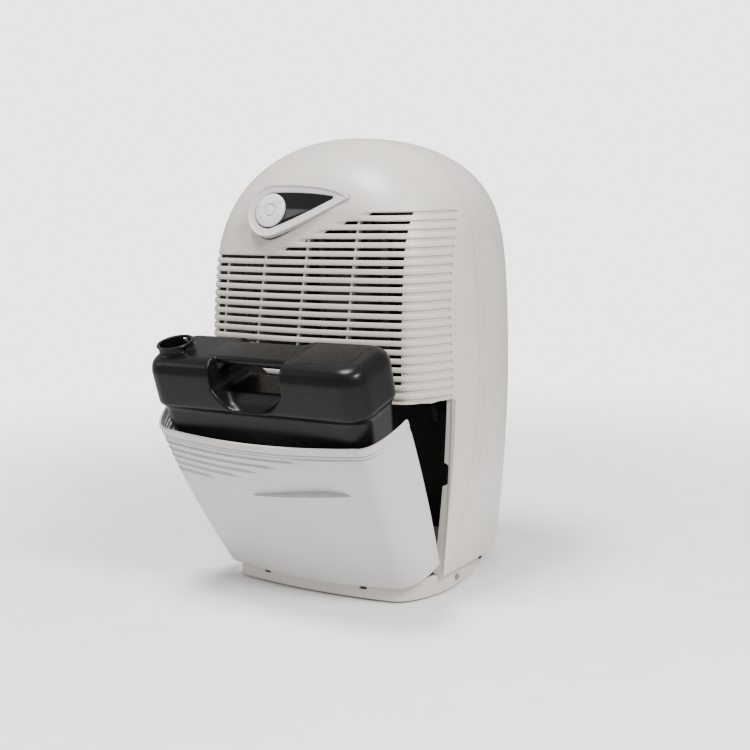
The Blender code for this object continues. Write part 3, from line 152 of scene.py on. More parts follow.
@dataclass(frozen=True)
class Finish:
    """One finish: a common material and how its surface was made."""

    name: str
    slot: str
    colour: str
    drift: str                      # second colour that the first drifts to
    roughness: float
    spread: float = 0.05            # how far the roughness varies either way
    metallic: float = 0.0
    ior: float = 1.5
    grain: Grain = Grain.MOULDED
    grain_mm: float = 0.9
    height_mm: float = 0.02
    patch_mm: float = 60.0
    coat: float = 0.0

    def build(self) -> bpy.types.Material:
        """Make the material on first use.

        Returns:
            The node material of this finish.
        """
        made = bpy.data.materials.get(self.name)
        if made:
            return made
        made = bpy.data.materials.new(self.name)
        made.use_nodes = True
        tree = made.node_tree
        tree.nodes.clear()
        place = add_node(tree, "ShaderNodeTexCoord").outputs["Object"]
        patch = add_node(tree, "ShaderNodeTexNoise",
                         {"Vector": place, "Scale": 1 / (self.patch_mm * MM), "Detail": 3.0})
        fine, height = self.pattern(tree, place)
        blend = add_node(tree, "ShaderNodeMapRange",
                         {"Value": patch.outputs["Fac"], "From Min": 0.35, "From Max": 0.65})
        colour = add_node(tree, "ShaderNodeMix",
                          {0: blend.outputs["Result"], 6: linear(self.colour),
                           7: linear(self.drift)}, data_type="RGBA")
        # painted shade: the colour is darkened in the hollows of the surface pattern
        base = self.paint_hollow_shade(tree, colour.outputs[2], fine)
        rough = add_node(tree, "ShaderNodeMapRange",
                         {"Value": fine, "From Min": 0.3, "From Max": 0.7,
                          "To Min": self.roughness - self.spread,
                          "To Max": self.roughness + self.spread})
        bump = add_node(tree, "ShaderNodeBump",
                        {"Height": height, "Strength": 0.6, "Distance": self.height_mm * MM})
        shader = add_node(tree, "ShaderNodeBsdfPrincipled",
                          {"Base Color": base, "Roughness": rough.outputs["Result"],
                           "Metallic": self.metallic, "Normal": bump.outputs["Normal"]})
        if not self.metallic:
            shader.inputs["IOR"].default_value = self.ior
        if self.coat:
            shader.inputs["Coat Weight"].default_value = self.coat
            shader.inputs["Coat Roughness"].default_value = 0.12
        add_node(tree, "ShaderNodeOutputMaterial", {"Surface": shader.outputs["BSDF"]})
        return made

    def pattern(self, tree: bpy.types.NodeTree,
                place: bpy.types.NodeSocket) -> tuple[bpy.types.NodeSocket, bpy.types.NodeSocket]:
        """Draw the surface's own pattern.

        Args:
            tree: The material's node tree.
            place: Object coordinates.

        Returns:
            A fine value for colour and roughness, and the height for the bump.
        """
        scale = 1 / (self.grain_mm * MM)
        if self.grain is Grain.CELLS:
            cells = add_node(tree, "ShaderNodeTexVoronoi", {"Vector": place, "Scale": scale})
            return cells.outputs["Distance"], cells.outputs["Distance"]
        if self.grain is Grain.FINS:
            fins = add_node(tree, "ShaderNodeTexWave",
                            {"Vector": place, "Scale": scale / 20, "Distortion": 0.3,
                             "Detail": 1.0}, bands_direction="X")
            return fins.outputs["Fac"], fins.outputs["Fac"]
        if self.grain is Grain.DRAWN:
            stretch = add_node(tree, "ShaderNodeMapping", {"Vector": place, "Scale": (1, 1, 0.03)})
            place = stretch.outputs["Vector"]
        fine = add_node(tree, "ShaderNodeTexNoise",
                        {"Vector": place, "Scale": scale, "Detail": 2.0, "Roughness": 0.6})
        if self.grain is not Grain.BLOWN:
            return fine.outputs["Fac"], fine.outputs["Fac"]
        wave = add_node(tree, "ShaderNodeTexNoise",
                        {"Vector": place, "Scale": scale / 14, "Detail": 1.0})
        both = add_node(tree, "ShaderNodeMix",
                        {0: 0.75, 2: fine.outputs["Fac"], 3: wave.outputs["Fac"]})
        return fine.outputs["Fac"], both.outputs[0]

    def paint_hollow_shade(self, tree: bpy.types.NodeTree, colour: bpy.types.NodeSocket,
             fine: bpy.types.NodeSocket) -> bpy.types.NodeSocket:
        """Paint shade into the pattern's hollows: darker colour where it is low, most between fins and in
        foam cells.
        """
        # painted shade: how much darker the hollows get, most between fins and in foam cells, a little
        # elsewhere
        depth = 0.45 if self.grain in (Grain.CELLS, Grain.FINS) else 0.04
        shade = add_node(tree, "ShaderNodeMapRange",
                         {"Value": fine, "From Min": 0.2, "From Max": 0.6, "To Min": 1 - depth,
                          "To Max": 1.0})
        mixed = add_node(tree, "ShaderNodeMix", {0: 1.0, 6: colour, 7: shade.outputs["Result"]},
                         data_type="RGBA", blend_type="MULTIPLY")
        return mixed.outputs[2]


# Injection-moulded ABS of the case: warm off-white with a low sheen.
CASE_ABS = Finish("moulded_abs_warm_white", "cream_abs", "#c6bfb6", "#c2bbb1", 0.36, height_mm=0.012)
# The door and the panel come from another mould in a cooler white, a little duller.
DOOR_ABS = Finish("moulded_abs_cool_white", "white_abs", "#c3c0bd", "#bfbcb8", 0.42, height_mm=0.014)
BASE_ABS = Finish("moulded_abs_base", "base_abs", "#c6bfb5", "#c1baaf", 0.45, height_mm=0.02)
# Blow-moulded polyethylene: deep black with a waxy sheen and faint scuffs.
TANK_PE = Finish("blown_polyethylene_black", "black_tank", "#0a0a0b", "#0e0e0f", 0.30, 0.05,
                 ior=1.28, grain=Grain.BLOWN, grain_mm=1.1, height_mm=0.05)
BLACK_PP = Finish("moulded_polypropylene_black", "black_abs", "#131314", "#18181a", 0.55, 0.08)
FAN_PP = Finish("moulded_polypropylene_grey", "white_abs", "#8c8880", "#847f77", 0.5)
GLOSS_WINDOW = Finish("gloss_acrylic_black", "window_black", "#070708", "#0a0a0b", 0.07, 0.02,
                      ior=1.3, grain_mm=6.0, height_mm=0.002, coat=0.3)
KEY_ABS = Finish("moulded_abs_key", "key_grey", "#d8d3cd", "#d3cec7", 0.33, height_mm=0.008)
PRINT = Finish("grey_key_print", "key_grey", "#8d8a87", "#85827f", 0.5)
RUBBER = Finish("black_rubber", "rubber", "#1b1b1b", "#222221", 0.8, 0.08, grain_mm=0.5)
ALUMINIUM = Finish("rolled_aluminium", "aluminium", "#c6c8ca", "#b7b9bb", 0.38, 0.08, 1.0,
                   grain=Grain.DRAWN, grain_mm=0.4)
COIL_FINS = Finish("aluminium_fin_stack", "aluminium", "#b4b3b0", "#a5a29d", 0.45, 0.08, 0.9,
                   grain=Grain.FINS, grain_mm=2.4, height_mm=0.6)
COPPER = Finish("drawn_copper", "copper", "#b87a55", "#a2653f", 0.32, 0.08, 1.0, grain=Grain.DRAWN,
                grain_mm=0.5)
GALVANISED = Finish("galvanised_sheet", "galvanised", "#8f8d88", "#7d7b76", 0.48, 0.1, 1.0,
                    grain=Grain.CELLS, grain_mm=5.0, height_mm=0.01)
STEEL = Finish("zinc_plated_steel", "steel", "#a9abaf", "#9c9ea1", 0.3, 0.06, 1.0,
               grain=Grain.DRAWN, grain_mm=0.3)
MOTOR_PAINT = Finish("painted_motor_casing", "motor_grey", "#5d5750", "#534e48", 0.5, 0.08)
ENAMEL = Finish("stoved_black_enamel", "compressor_black", "#17171a", "#1c1c1e", 0.3, coat=0.3)
BOARD = Finish("glass_epoxy_board", "circuit_green", "#1c5636", "#184a2f", 0.45)
FOAM = Finish("open_cell_foam", "filter_grey", "#3a3a3c", "#303032", 0.9, 0.05, grain=Grain.CELLS,
              grain_mm=1.6, height_mm=0.8)
STUDIO_FLOOR = Finish("studio_floor", "", "#fbfbfb", "#fafafa", 0.6, patch_mm=900.0, grain_mm=40.0)


# ---------------------------------------------------------------- mesh helpers
def place_mesh(name: str, mesh: bpy.types.Mesh, finish: Finish, body: str,
               replaces: tuple[str, ...] = (), sharp: float = 32.0) -> bpy.types.Object:
    """Put a finished mesh in the scene, dress it and hang it on its body.

    Args:
        name: The piece's name.
        mesh: Its mesh, already in place.
        finish: Its finish.
        body: The body that it rides on.
        replaces: The frame's nodes that it stands for.
        sharp: Edges that turn by more than this many degrees stay sharp.

    Returns:
        The new object.
    """
    obj = bpy.data.objects.new(name, mesh)
    bpy.context.scene.collection.objects.link(obj)
    low, high = LIMITS["low"], LIMITS["high"]
    points = np.empty(len(mesh.vertices) * 3)
    mesh.vertices.foreach_get("co", points)
    mesh.vertices.foreach_set("co", np.clip(points.reshape(-1, 3), low, high).ravel())
    mesh.materials.clear()
    mesh.materials.append(finish.build())
    mesh.shade_smooth()
    mesh.set_sharp_from_angle(angle=math.radians(sharp))
    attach(obj, body)
    if replaces:
        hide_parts(*replaces)
    LOG.info("%s: %d faces on %s", name, len(mesh.polygons), body)
    return obj


def mesh_of(name: str, bm: bmesh.types.BMesh) -> bpy.types.Mesh:
    """Weld a bmesh, turn its faces outwards and make it a mesh."""
    bmesh.ops.remove_doubles(bm, verts=bm.verts, dist=2e-6)
    bmesh.ops.dissolve_degenerate(bm, edges=bm.edges, dist=1e-6)
    bmesh.ops.recalc_face_normals(bm, faces=bm.faces)
    mesh = bpy.data.meshes.new(name)
    bm.to_mesh(mesh)
    bm.free()
    return mesh


def grid_normals(points: np.ndarray) -> np.ndarray:
    """Unit normals of a grid of points, by rows and columns."""
    across = np.gradient(points, axis=1)
    along = np.gradient(points, axis=0)
    normals = np.cross(across, along)
    size = np.linalg.norm(normals, axis=2, keepdims=True)
    return normals / np.maximum(size, 1e-12)


def shell_mesh(name: str, outer: np.ndarray, inner: np.ndarray,
               keep: np.ndarray | None = None) -> bpy.types.Mesh:
    """A closed wall between two grids of points, with openings where cells are left out.

    Args:
        name: The mesh's name.
        outer: Rows by columns of points on the outside.
        inner: The matching points on the inside.
        keep: Which cells are solid; all of them when left out.

    Returns:
        The closed mesh.
    """
    rows, columns = outer.shape[:2]
    if keep is None:
        keep = np.ones((rows - 1, columns - 1), bool)
    number = np.arange(rows * columns).reshape(rows, columns)
    skip = rows * columns
    faces = []
    for i, j in zip(*np.nonzero(keep)):
        quad = [number[i, j], number[i, j + 1], number[i + 1, j + 1], number[i + 1, j]]
        faces.append([int(v) for v in quad])
        faces.append([int(v) + skip for v in reversed(quad)])
    padded = np.pad(keep, 1)
    for i, j in zip(*np.nonzero(padded[:-1, 1:-1] != padded[1:, 1:-1])):
        a, b = int(number[i, j]), int(number[i, j + 1])
        faces.append([a, b, b + skip, a + skip])
    for i, j in zip(*np.nonzero(padded[1:-1, :-1] != padded[1:-1, 1:])):
        a, b = int(number[i, j]), int(number[i + 1, j])
        faces.append([a, b, b + skip, a + skip])
    raw = bpy.data.meshes.new(name + "_grid")
    points = np.concatenate((outer.reshape(-1, 3), inner.reshape(-1, 3)))
    raw.from_pydata(points.tolist(), [], faces)
    bm = bmesh.new()
    bm.from_mesh(raw)
    bpy.data.meshes.remove(raw)
    loose = [v for v in bm.verts if not v.link_faces]
    bmesh.ops.delete(bm, geom=loose, context="VERTS")
    return mesh_of(name, bm)


def loft_mesh(name: str, sections: list[np.ndarray]) -> bpy.types.Mesh:
    """A closed solid through sections of equal point count, capped at both ends."""
    bm = bmesh.new()
    rings = [[bm.verts.new(point) for point in section] for section in sections]
    count = len(rings[0])
    for upper, lower in zip(rings, rings[1:]):
        for i in range(count):
            j = (i + 1) % count
            bm.faces.new((upper[i], upper[j], lower[j], lower[i]))
    bm.faces.new(rings[0])
    bm.faces.new(rings[-1])
    return mesh_of(name, bm)


def rounded_box(low: Vector, high: Vector, radius: float, segments: int = 3) -> bmesh.types.BMesh:
    """A box between two corners with all its edges rounded."""
    bm = bmesh.new()
    bmesh.ops.create_cube(bm, size=1.0)
    for vert in bm.verts:
        vert.co = Vector(low[i] + (vert.co[i] + 0.5) * (high[i] - low[i]) for i in range(3))
    bmesh.ops.bevel(bm, geom=list(bm.edges), offset=radius, segments=segments, profile=0.5,
                    affect="EDGES")
    return bm


def turned_mesh(name: str, profile: list[tuple[float, float]], matrix: Matrix,
                sides: int = 64) -> bpy.types.Mesh:
    """A closed solid of revolution about local Z.

    Args:
        name: The mesh's name.
        profile: Radius and height of each ring, from one end to the other.
        matrix: Where it goes.
        sides: Facets round it.

    Returns:
        The closed mesh.
    """
    angles = np.linspace(0, 2 * math.pi, sides, endpoint=False)
    sections = [np.column_stack((r * np.cos(angles), r * np.sin(angles), np.full(sides, z)))
                for r, z in profile]
    mesh = loft_mesh(name, sections)
    mesh.transform(matrix)
    return mesh


def apply_modifiers(obj: bpy.types.Object) -> bpy.types.Mesh:
    """Turn an object with modifiers into a plain mesh and remove the object."""
    depsgraph = bpy.context.evaluated_depsgraph_get()
    mesh = bpy.data.meshes.new_from_object(obj.evaluated_get(depsgraph))
    bpy.data.objects.remove(obj, do_unlink=True)
    return mesh


def helper(name: str, mesh: bpy.types.Mesh) -> bpy.types.Object:
    """Put a mesh in the scene as a tool that is removed again."""
    obj = bpy.data.objects.new(name, mesh)
    bpy.context.scene.collection.objects.link(obj)
    return obj


def cut_mesh(mesh: bpy.types.Mesh, tools: list[tuple[bpy.types.Mesh, str]]) -> bpy.types.Mesh:
    """Apply Booleans to a mesh, one after another.

    Args:
        mesh: The mesh that is worked on.
        tools: Each tool's mesh and its operation.

    Returns:
        The finished mesh.
    """
    target = helper("work", mesh)
    made = []
    for tool, operation in tools:
        cutter = helper("tool", tool)
        modifier = target.modifiers.new("cut", "BOOLEAN")
        modifier.object = cutter
        modifier.operation = operation
        modifier.solver = "EXACT"
        made.append(cutter)
    result = apply_modifiers(target)
    for cutter in made:
        bpy.data.objects.remove(cutter, do_unlink=True)
    return result


# ---------------------------------------------------------------- repeated pieces
class Repeat:
    """A Geometry Nodes tree that sets a copy of a shape at each of a row of places."""

    @staticmethod
    def box_row(name: str, start: Vector, step: Vector, count: int, size: Vector,
                turn: Vector, finish: Finish) -> bpy.types.Mesh:
        """Rounded bars in a row.

        Args:
            name: Name of the tree and of the mesh.
            start: Middle of the first bar.
            step: From each bar to the next.
            count: How many bars.
            size: Each bar's size.
            turn: Each bar's rotation, in radians.
            finish: The finish set by the tree.

        Returns:
            The realised mesh.
        """
        tree = bpy.data.node_groups.new(name, "GeometryNodeTree")
        sockets = {}
        for label, kind, value in (("Start", "NodeSocketVector", start), ("Step", "NodeSocketVector", step),
                                   ("Count", "NodeSocketInt", count), ("Size", "NodeSocketVector", size),
                                   ("Turn", "NodeSocketVector", turn)):
            socket = tree.interface.new_socket(label, in_out="INPUT", socket_type=kind)
            sockets[socket.identifier] = value
        tree.interface.new_socket("Geometry", in_out="OUTPUT", socket_type="NodeSocketGeometry")
        given = add_node(tree, "NodeGroupInput").outputs
        line = add_node(tree, "GeometryNodeMeshLine", {"Count": given["Count"],
                                                       "Start Location": given["Start"],
                                                       "Offset": given["Step"]}, mode="OFFSET")
        bar = add_node(tree, "GeometryNodeMeshCube", {"Size": given["Size"], "Vertices X": 2,
                                                      "Vertices Y": 2, "Vertices Z": 2})
        placed = add_node(tree, "GeometryNodeInstanceOnPoints",
                          {"Points": line.outputs["Mesh"], "Instance": bar.outputs["Mesh"],
                           "Rotation": given["Turn"]})
        real = add_node(tree, "GeometryNodeRealizeInstances",
                        {"Geometry": placed.outputs["Instances"]})
        dressed = add_node(tree, "GeometryNodeSetMaterial",
                           {"Geometry": real.outputs["Geometry"], "Material": finish.build()})
        add_node(tree, "NodeGroupOutput", {"Geometry": dressed.outputs["Geometry"]})
        holder = helper(name + "_row", bpy.data.meshes.new(name))
        modifier = holder.modifiers.new("row", "NODES")
        modifier.node_group = tree
        for identifier, value in sockets.items():
            modifier[identifier] = value if isinstance(value, int) else tuple(value)
        mesh = apply_modifiers(holder)
        mesh.name = name
        return mesh


# ---------------------------------------------------------------- the case
@dataclass(frozen=True)
class CaseForm:
    """The outer form that the case mouldings and the door share, with the frame's own sizes."""

    top: float = 0.544
    half_width: float = 0.1726
    foot_half_width: float = 0.151
    widest_z: float = 0.273
    bottom_z: float = 0.0265
    crown_taper: float = 0.017
    crown_power: float = 6.0
    foot_power: float = 1.8
    front: float = -0.150
    rear: float = 0.140
    bow_radius: float = 0.767
    bow_mid_z: float = 0.212
    recede: float = 0.325
    corner_inset: float = 0.041
    crown_inset: float = 0.088
    corner_power: float = 1.7
    draw_low_z: float = 0.250
    parting: float = -0.025
    parting_bow: float = 0.72
    parting_mid_z: float = 0.273
    gap: float = 0.0004

    def width_at(self, z: np.ndarray | float) -> np.ndarray | float:
        """Half width of the case at a height."""
        low = np.clip((self.widest_z - z) / (self.widest_z - self.bottom_z), 0, None)
        high = np.clip((z - self.widest_z) / (self.top - self.widest_z), 0, 1)
        drawn = (self.half_width - self.foot_half_width) * low ** self.foot_power
        crown = np.sqrt(np.clip(1 - high ** self.crown_power, 0, None))
        return (self.half_width - drawn - self.crown_taper * high ** 2) * crown

    def face_y(self, x: np.ndarray | float, z: np.ndarray | float) -> np.ndarray | float:
        """The bowed front face."""
        return self.front + self.recede * (z - self.bow_mid_z) ** 2 + x * x / (2 * self.bow_radius)

    def parting_at(self, z: np.ndarray | float) -> np.ndarray | float:
        """The line where the front and rear mouldings meet."""
        return self.parting - self.parting_bow * np.minimum(z - self.parting_mid_z, 0) ** 2

    def lift(self, z: np.ndarray) -> np.ndarray:
        """How far up the drawn-in part of the case a height is, from zero to one at the crown."""
        return np.clip(z - self.draw_low_z, 0, None) / (self.top - self.draw_low_z)

    def half_row(self, z: float, steps: int = 160) -> np.ndarray:
        """The front moulding's outline at one height, from the middle to its parting edge.

        Args:
            z: The height.
            steps: How finely the rounded corner is followed.

        Returns:
            Points (x, y) with x growing.
        """
        angle = np.linspace(0, math.pi / 2, steps)
        inset = 1 - np.clip(np.cos(angle), 0, None) ** (2 / self.corner_power)
        share = np.sin(angle) ** (2 / self.corner_power)
        bend = self.crown_inset / (self.top - self.draw_low_z) ** 2
        rise = z - self.draw_low_z
        if rise <= 0:
            outline_z = np.full(steps, z)
        else:
            under = 1 - 4 * bend * inset * rise
            root = np.sqrt(np.clip(under, 0, None))
            outline_z = self.draw_low_z + np.where(inset < 1e-9, rise,
                                                   (1 - root) / np.maximum(2 * bend * inset, 1e-12))
            reached = (under >= 0) & (outline_z <= self.top + 1e-9)
            angle, inset, share = angle[reached], inset[reached], share[reached]
            outline_z = outline_z[reached]
        wide = self.width_at(outline_z)
        inner_x = wide * (1 - self.corner_inset / self.half_width)
        inner_z = outline_z - self.crown_inset * self.lift(outline_z) ** 2
        edge = self.parting_at(outline_z) - self.gap
        y = edge + (self.face_y(inner_x, inner_z) - edge) * share
        x = wide + (inner_x - wide) * inset
        corner = np.column_stack((x, y))[::-1]
        if corner[0, 0] < 1e-4:
            corner[0, 0] = 0.0
            return corner
        flat = np.linspace(0, corner[0, 0], 40)[:-1]
        if len(inset) < steps:
            front = np.column_stack((flat, np.full(len(flat), corner[0, 1])))
        else:
            front = np.column_stack((flat, self.face_y(flat, z)))
        return np.vstack((front, corner))

    def outline(self, count: int) -> np.ndarray:
        """Evenly spaced points (x, z) of the case from the left foot over the crown."""
        heights = self.bottom_z + (self.top - self.bottom_z) * np.sin(np.linspace(0, math.pi / 2, 600))
        left = np.column_stack((-self.width_at(heights), heights))
        dense = np.vstack((left, left[::-1][1:] * (-1, 1)))
        length = np.concatenate(((0,), np.cumsum(np.linalg.norm(np.diff(dense, axis=0), axis=1))))
        at = np.linspace(0, length[-1], count)
        return np.column_stack([np.interp(at, length, dense[:, i]) for i in (0, 1)])


@dataclass
class FrontCover:
    """The front moulding: crown, air slots, blind grooves round the corners and the door's frame."""

    form: CaseForm
    wall: float = 0.0034
    pitch: float = 0.010
    gap: float = 0.004
    top_slot_z: float = 0.4548
    slots: int = 20
    blind: int = 2
    slot_half_width: float = 0.131
    step_tips: tuple[float, ...] = (0.073, 0.042, 0.0165, -0.010, -0.038)
    tip_length: float = 0.013
    slant: float = 0.004
    groove_depth: float = 0.0022
    mouth_z: float = 0.2412
    frame_y: float = -0.0783
    groove_rise: float = 0.034      # the grooves reach this much further back at the topmost slot
    flat_columns: int = 18
    corner_columns: int = 14
    side_columns: int = 7
    crown_rows: int = 46
    skirt_rows: int = 26
    edge_rows: tuple[float, ...] = (0.0009, 0.00035, 0.0, -0.00025)   # rows beside each slot's edge
    tip_shares: tuple[float, ...] = (0.0, 0.25, 0.5, 0.75, 1.0)       # columns along a slanting tip
    column_clearance: float = 0.0025
    groove_climb: tuple[float, float] = (0.330, 0.125)   # from this height, over this height
    crown_blend: tuple[float, float] = (0.004, 0.022)    # over the top slot, columns even out
    edge_round: float = 0.0010      # the slats' edges are rolled over this height
    edge_drop: float = 0.00045      # and drop by this
    panel_gap: float = 0.0005
    panel_reach: float = 0.030
    bar_section: tuple[tuple[float, float], ...] = ((-0.0014, 0), (0.0014, 0), (0.0011, 0.007),
                                                    (-0.0011, 0.007))
    # Each bar behind the slats: where its head stands, how high that is, and how it leans.
    bars: tuple[tuple[float, float, float], ...] = ((0.0729, 0.452, 0.075), (0.0075, 0.432, 0.10),
                                                    (-0.0546, 0.412, 0.10), (-0.1150, 0.402, 0.06))
    bar_foot_z: float = 0.262
    bar_setback: float = 0.0026
    jamb_gap: float = 0.0035        # between the jambs and the case outline
    lintel_depth: float = 0.0035    # how far the lintel goes back behind the frame's face
    jamb_width: float = 0.0115
    jamb_setback: tuple[float, float] = (0.0008, 0.0030)   # front and rear of the jamb's plate
    notch: tuple[float, float] = (0.137, 0.163)            # heights between which a catch enters
    notch_width: float = 0.0045
    lintel_inset: float = 0.012
    lintel_lift: tuple[float, float] = (0.0006, 0.0026)
    lintel_setback: float = 0.0045
    lintel_turn: float = 0.010
    body: str = "case"

    def slot_heights(self) -> list[float]:
        """Middles of all the slots and blind grooves, from the top down."""
        return [self.top_slot_z - self.pitch * k for k in range(self.slots + self.blind)]

    def heights(self) -> np.ndarray:
        """Heights of the grid's rows, closer together round every slot."""
        rows = list(np.linspace(self.form.bottom_z, self.mouth_z - self.gap, self.skirt_rows))
        rows += [self.mouth_z, self.mouth_z + 0.0004, self.mouth_z + 0.001]
        half = self.gap / 2
        for z in self.slot_heights():
            rows += [z + s * (half + d) for s in (-1, 1) for d in self.edge_rows]
            rows += [z, z + self.pitch / 2]
        top = self.top_slot_z + self.pitch / 2
        share = np.linspace(0, 1, self.crown_rows)[1:]
        rows += list(top + (self.form.top - top) * (1 - (1 - share) ** 2))
        return np.array(sorted({round(z, 6) for z in rows if z > self.form.bottom_z - 1e-9}))

    def stations(self) -> list[float]:
        """Places across the flat front where the grid has a column."""
        xs = set(np.linspace(-self.slot_half_width, self.slot_half_width, 2 * self.flat_columns + 1))
        for tip in self.step_tips:
            xs |= {tip + self.tip_length * s for s in self.tip_shares}
        kept = []
        fixed = {tip + self.tip_length * s for tip in self.step_tips for s in self.tip_shares}
        for x in sorted(xs):
            near = any(abs(x - f) < self.column_clearance for f in fixed)
            if x in fixed or not near or abs(abs(x) - self.slot_half_width) < 1e-9:
                kept.append(float(x))
        return kept

    def row(self, z: float) -> np.ndarray:
        """One row of points across the front, from the left parting edge to the right one."""
        half = self.form.half_row(z)
        length = np.concatenate(((0,), np.cumsum(np.linalg.norm(np.diff(half, axis=0), axis=1))))
        total = length[-1]
        flat = self.stations()
        reach = np.interp(self.slot_half_width, half[:, 0], length)
        reach = min(reach, total * 0.80)
        climb = max(0.0, (z - self.groove_climb[0]) / self.groove_climb[1])
        end_y = self.frame_y + self.groove_rise * min(climb, 1.2) ** 2
        by_depth = np.argmax(half[:, 1] >= end_y)
        frame = length[by_depth - 1] if by_depth else total * 0.9
        if by_depth:
            y0, y1 = half[by_depth - 1, 1], half[by_depth, 1]
            frame += (end_y - y0) / max(y1 - y0, 1e-9) * (length[by_depth] - length[by_depth - 1])
        frame = min(max(frame, reach + (total - reach) * 0.3), total * 0.97)
        corner = np.linspace(reach, frame, self.corner_columns + 1)[1:]
        corner = np.insert(corner, -1, frame - 0.0004 * min(1.0, total / 0.1))
        side = np.linspace(frame, total, self.side_columns + 1)[1:]
        outer = np.concatenate((corner, side))
        inner = np.array([math.copysign(np.interp(abs(x), half[:, 0], length), x)
                          if abs(x) < half[-1, 0] else math.copysign(total, x) for x in flat])
        by_x = np.concatenate((-outer[::-1], inner, outer))
        even = np.linspace(-total, total, len(by_x))
        low, high = (self.top_slot_z + over for over in self.crown_blend)
        blend = min(max((z - low) / (high - low), 0.0), 1.0)
        blend = blend * blend * (3 - 2 * blend)
        at = by_x * (1 - blend) + even * blend
        x = np.sign(at) * np.interp(np.abs(at), length, half[:, 0])
        y = np.interp(np.abs(at), length, half[:, 1])
        return np.column_stack((x, y, np.full(len(at), z)))

    def build(self) -> None:
        """Make the moulding with its see-through slots and blind grooves, and dress it."""
        heights = self.heights()
        points = np.array([self.row(z) for z in heights])
        points[-1, :, 0] = 0.0
        normals = grid_normals(points)
        normals[-1] = (0, 0, 1)
        columns = points.shape[1]
        flat = self.stations()
        first = (columns - len(flat)) // 2
        last = first + len(flat) - 1
        frame_left = self.side_columns
        frame_right = columns - 1 - self.side_columns
        keep = np.ones((len(heights) - 1, columns - 1), bool)
        depth = np.zeros(points.shape[:2])
        half = self.gap / 2
        for number, z in enumerate(self.slot_heights()):
            tip = self.step_tips[number] if number < len(self.step_tips) else None
            through = number < self.slots
            for i in np.nonzero(np.abs(heights - z) < half + 0.0012)[0]:
                off = heights[i] - z
                edge = max(0.0, min(1.0, (half + self.edge_round - abs(off)) / self.edge_round))
                rolled = self.edge_drop * edge ** 2
                floor = self.groove_depth if abs(off) < half - 0.0001 else rolled
                for j in range(frame_left, frame_right + 1):
                    share = 1.0
                    if j in (frame_left, frame_right):
                        share = 0.0
                    if tip is not None:
                        along = (off / half + 1) / 2
                        start = tip + along * self.tip_length * 0.75
                        stop = tip + self.tip_length * 0.7 + along * self.slant * 1.5
                        share *= min(max((points[i, j, 0] - start) / (stop - start), 0.0), 1.0)
                    depth[i, j] = max(depth[i, j], floor * share)
            if not through:
                continue
            cells = np.nonzero((heights[:-1] > z - half - 1e-5) & (heights[1:] < z + half + 1e-5))[0]
            left = first
            if tip is not None:
                left = int(np.argmin(np.abs(np.array(flat) - (tip + self.tip_length)))) + first
                for i in np.nonzero(np.abs(heights - z) < half + 1e-5)[0]:
                    points[i, left, 0] += self.slant * (heights[i] - z) / half * 0.6
            keep[np.ix_(cells, np.arange(left, last))] = False
        outer = points - normals * depth[:, :, None]
        inner = points - normals * self.wall
        inner[-1] = points[-1] - np.array((0, 0, self.wall))
        inner[:, 0] = points[:, 0] + np.array((self.wall, 0, 0))
        inner[:, -1] = points[:, -1] - np.array((self.wall, 0, 0))
        under = heights[:-1] < self.mouth_z - 1e-6
        keep[np.ix_(under, np.arange(frame_left, frame_right))] = False
        solid = shell_mesh("front_moulding", outer, inner, keep)
        panel = ControlPanel()
        hole = loft_mesh("panel_hole", [panel.outline(-self.panel_gap, side * self.panel_reach)
                                        for side in (-1, 1)])
        hole.transform(panel.matrix())
        mesh = cut_mesh(solid, [(hole, "DIFFERENCE")])
        place_mesh("front_moulding", mesh, CASE_ABS, self.body, ("front_cover",), 40.0)
        self.ribs()
        self.frame()

    def ribs(self) -> None:
        """The leaning bars that tie the slats together from behind."""
        bars = []
        for x, top, lean in self.bars:
            bm = bmesh.new()
            sections = []
            for z in np.linspace(self.bar_foot_z, top, 24):
                at = x - (top - z) * lean
                y = self.form.face_y(at, z) + self.bar_setback
                sections.append([bm.verts.new((at + dx, y + dy, z)) for dx, dy in self.bar_section])
            for upper, lower in zip(sections, sections[1:]):
                for i in range(4):
                    bm.faces.new((upper[i], upper[(i + 1) % 4], lower[(i + 1) % 4], lower[i]))
            bm.faces.new(sections[0])
            bm.faces.new(sections[-1])
            bars.append(mesh_of("bar", bm))
        joined = bmesh.new()
        for bar in bars:
            joined.from_mesh(bar)
            bpy.data.meshes.remove(bar)
        place_mesh("slat_ribs", mesh_of("slat_ribs", joined), CASE_ABS, self.body)

    def frame(self) -> None:
        """The flat frame that the door shuts against, with the notch that its catch enters."""
        heights = np.linspace(self.form.bottom_z + 0.001, self.mouth_z - 0.001, 60)
        notch_low, notch_high = self.notch
        joined = bmesh.new()
        for side in (-1, 1):
            outer_rows, inner_rows = [], []
            for z in heights:
                wide = self.form.width_at(z) - self.jamb_gap
                deep = self.notch_width if notch_low < z < notch_high else self.jamb_width
                xs = np.array((wide, wide - deep))
                outer_rows.append([(side * x, self.frame_y + self.jamb_setback[0], z) for x in xs])
                inner_rows.append([(side * x, self.frame_y + self.jamb_setback[1], z) for x in xs])
            mesh = shell_mesh("jamb", np.array(outer_rows), np.array(inner_rows))
            joined.from_mesh(mesh)
            bpy.data.meshes.remove(mesh)
        place_mesh("door_jambs", mesh_of("door_jambs", joined), CASE_ABS, self.body)
        wide = self.form.width_at(self.mouth_z) - self.lintel_inset
        xs = np.linspace(-wide, wide, 40)
        outer_rows, inner_rows = [], []
        for share in np.linspace(0, 1, 5):
            turn = self.lintel_turn * (np.abs(xs) / wide) ** 8
            front = self.form.face_y(xs, self.mouth_z) + self.lintel_setback + turn
            y = front + (self.frame_y + self.lintel_depth - front) * share
            for rows, lift in zip((outer_rows, inner_rows), self.lintel_lift):
                rows.append(np.column_stack((xs, y, np.full(len(xs), self.mouth_z + lift))))
        mesh = shell_mesh("mouth_lintel", np.array(outer_rows), np.array(inner_rows))
        place_mesh("mouth_lintel", mesh, CASE_ABS, self.body)


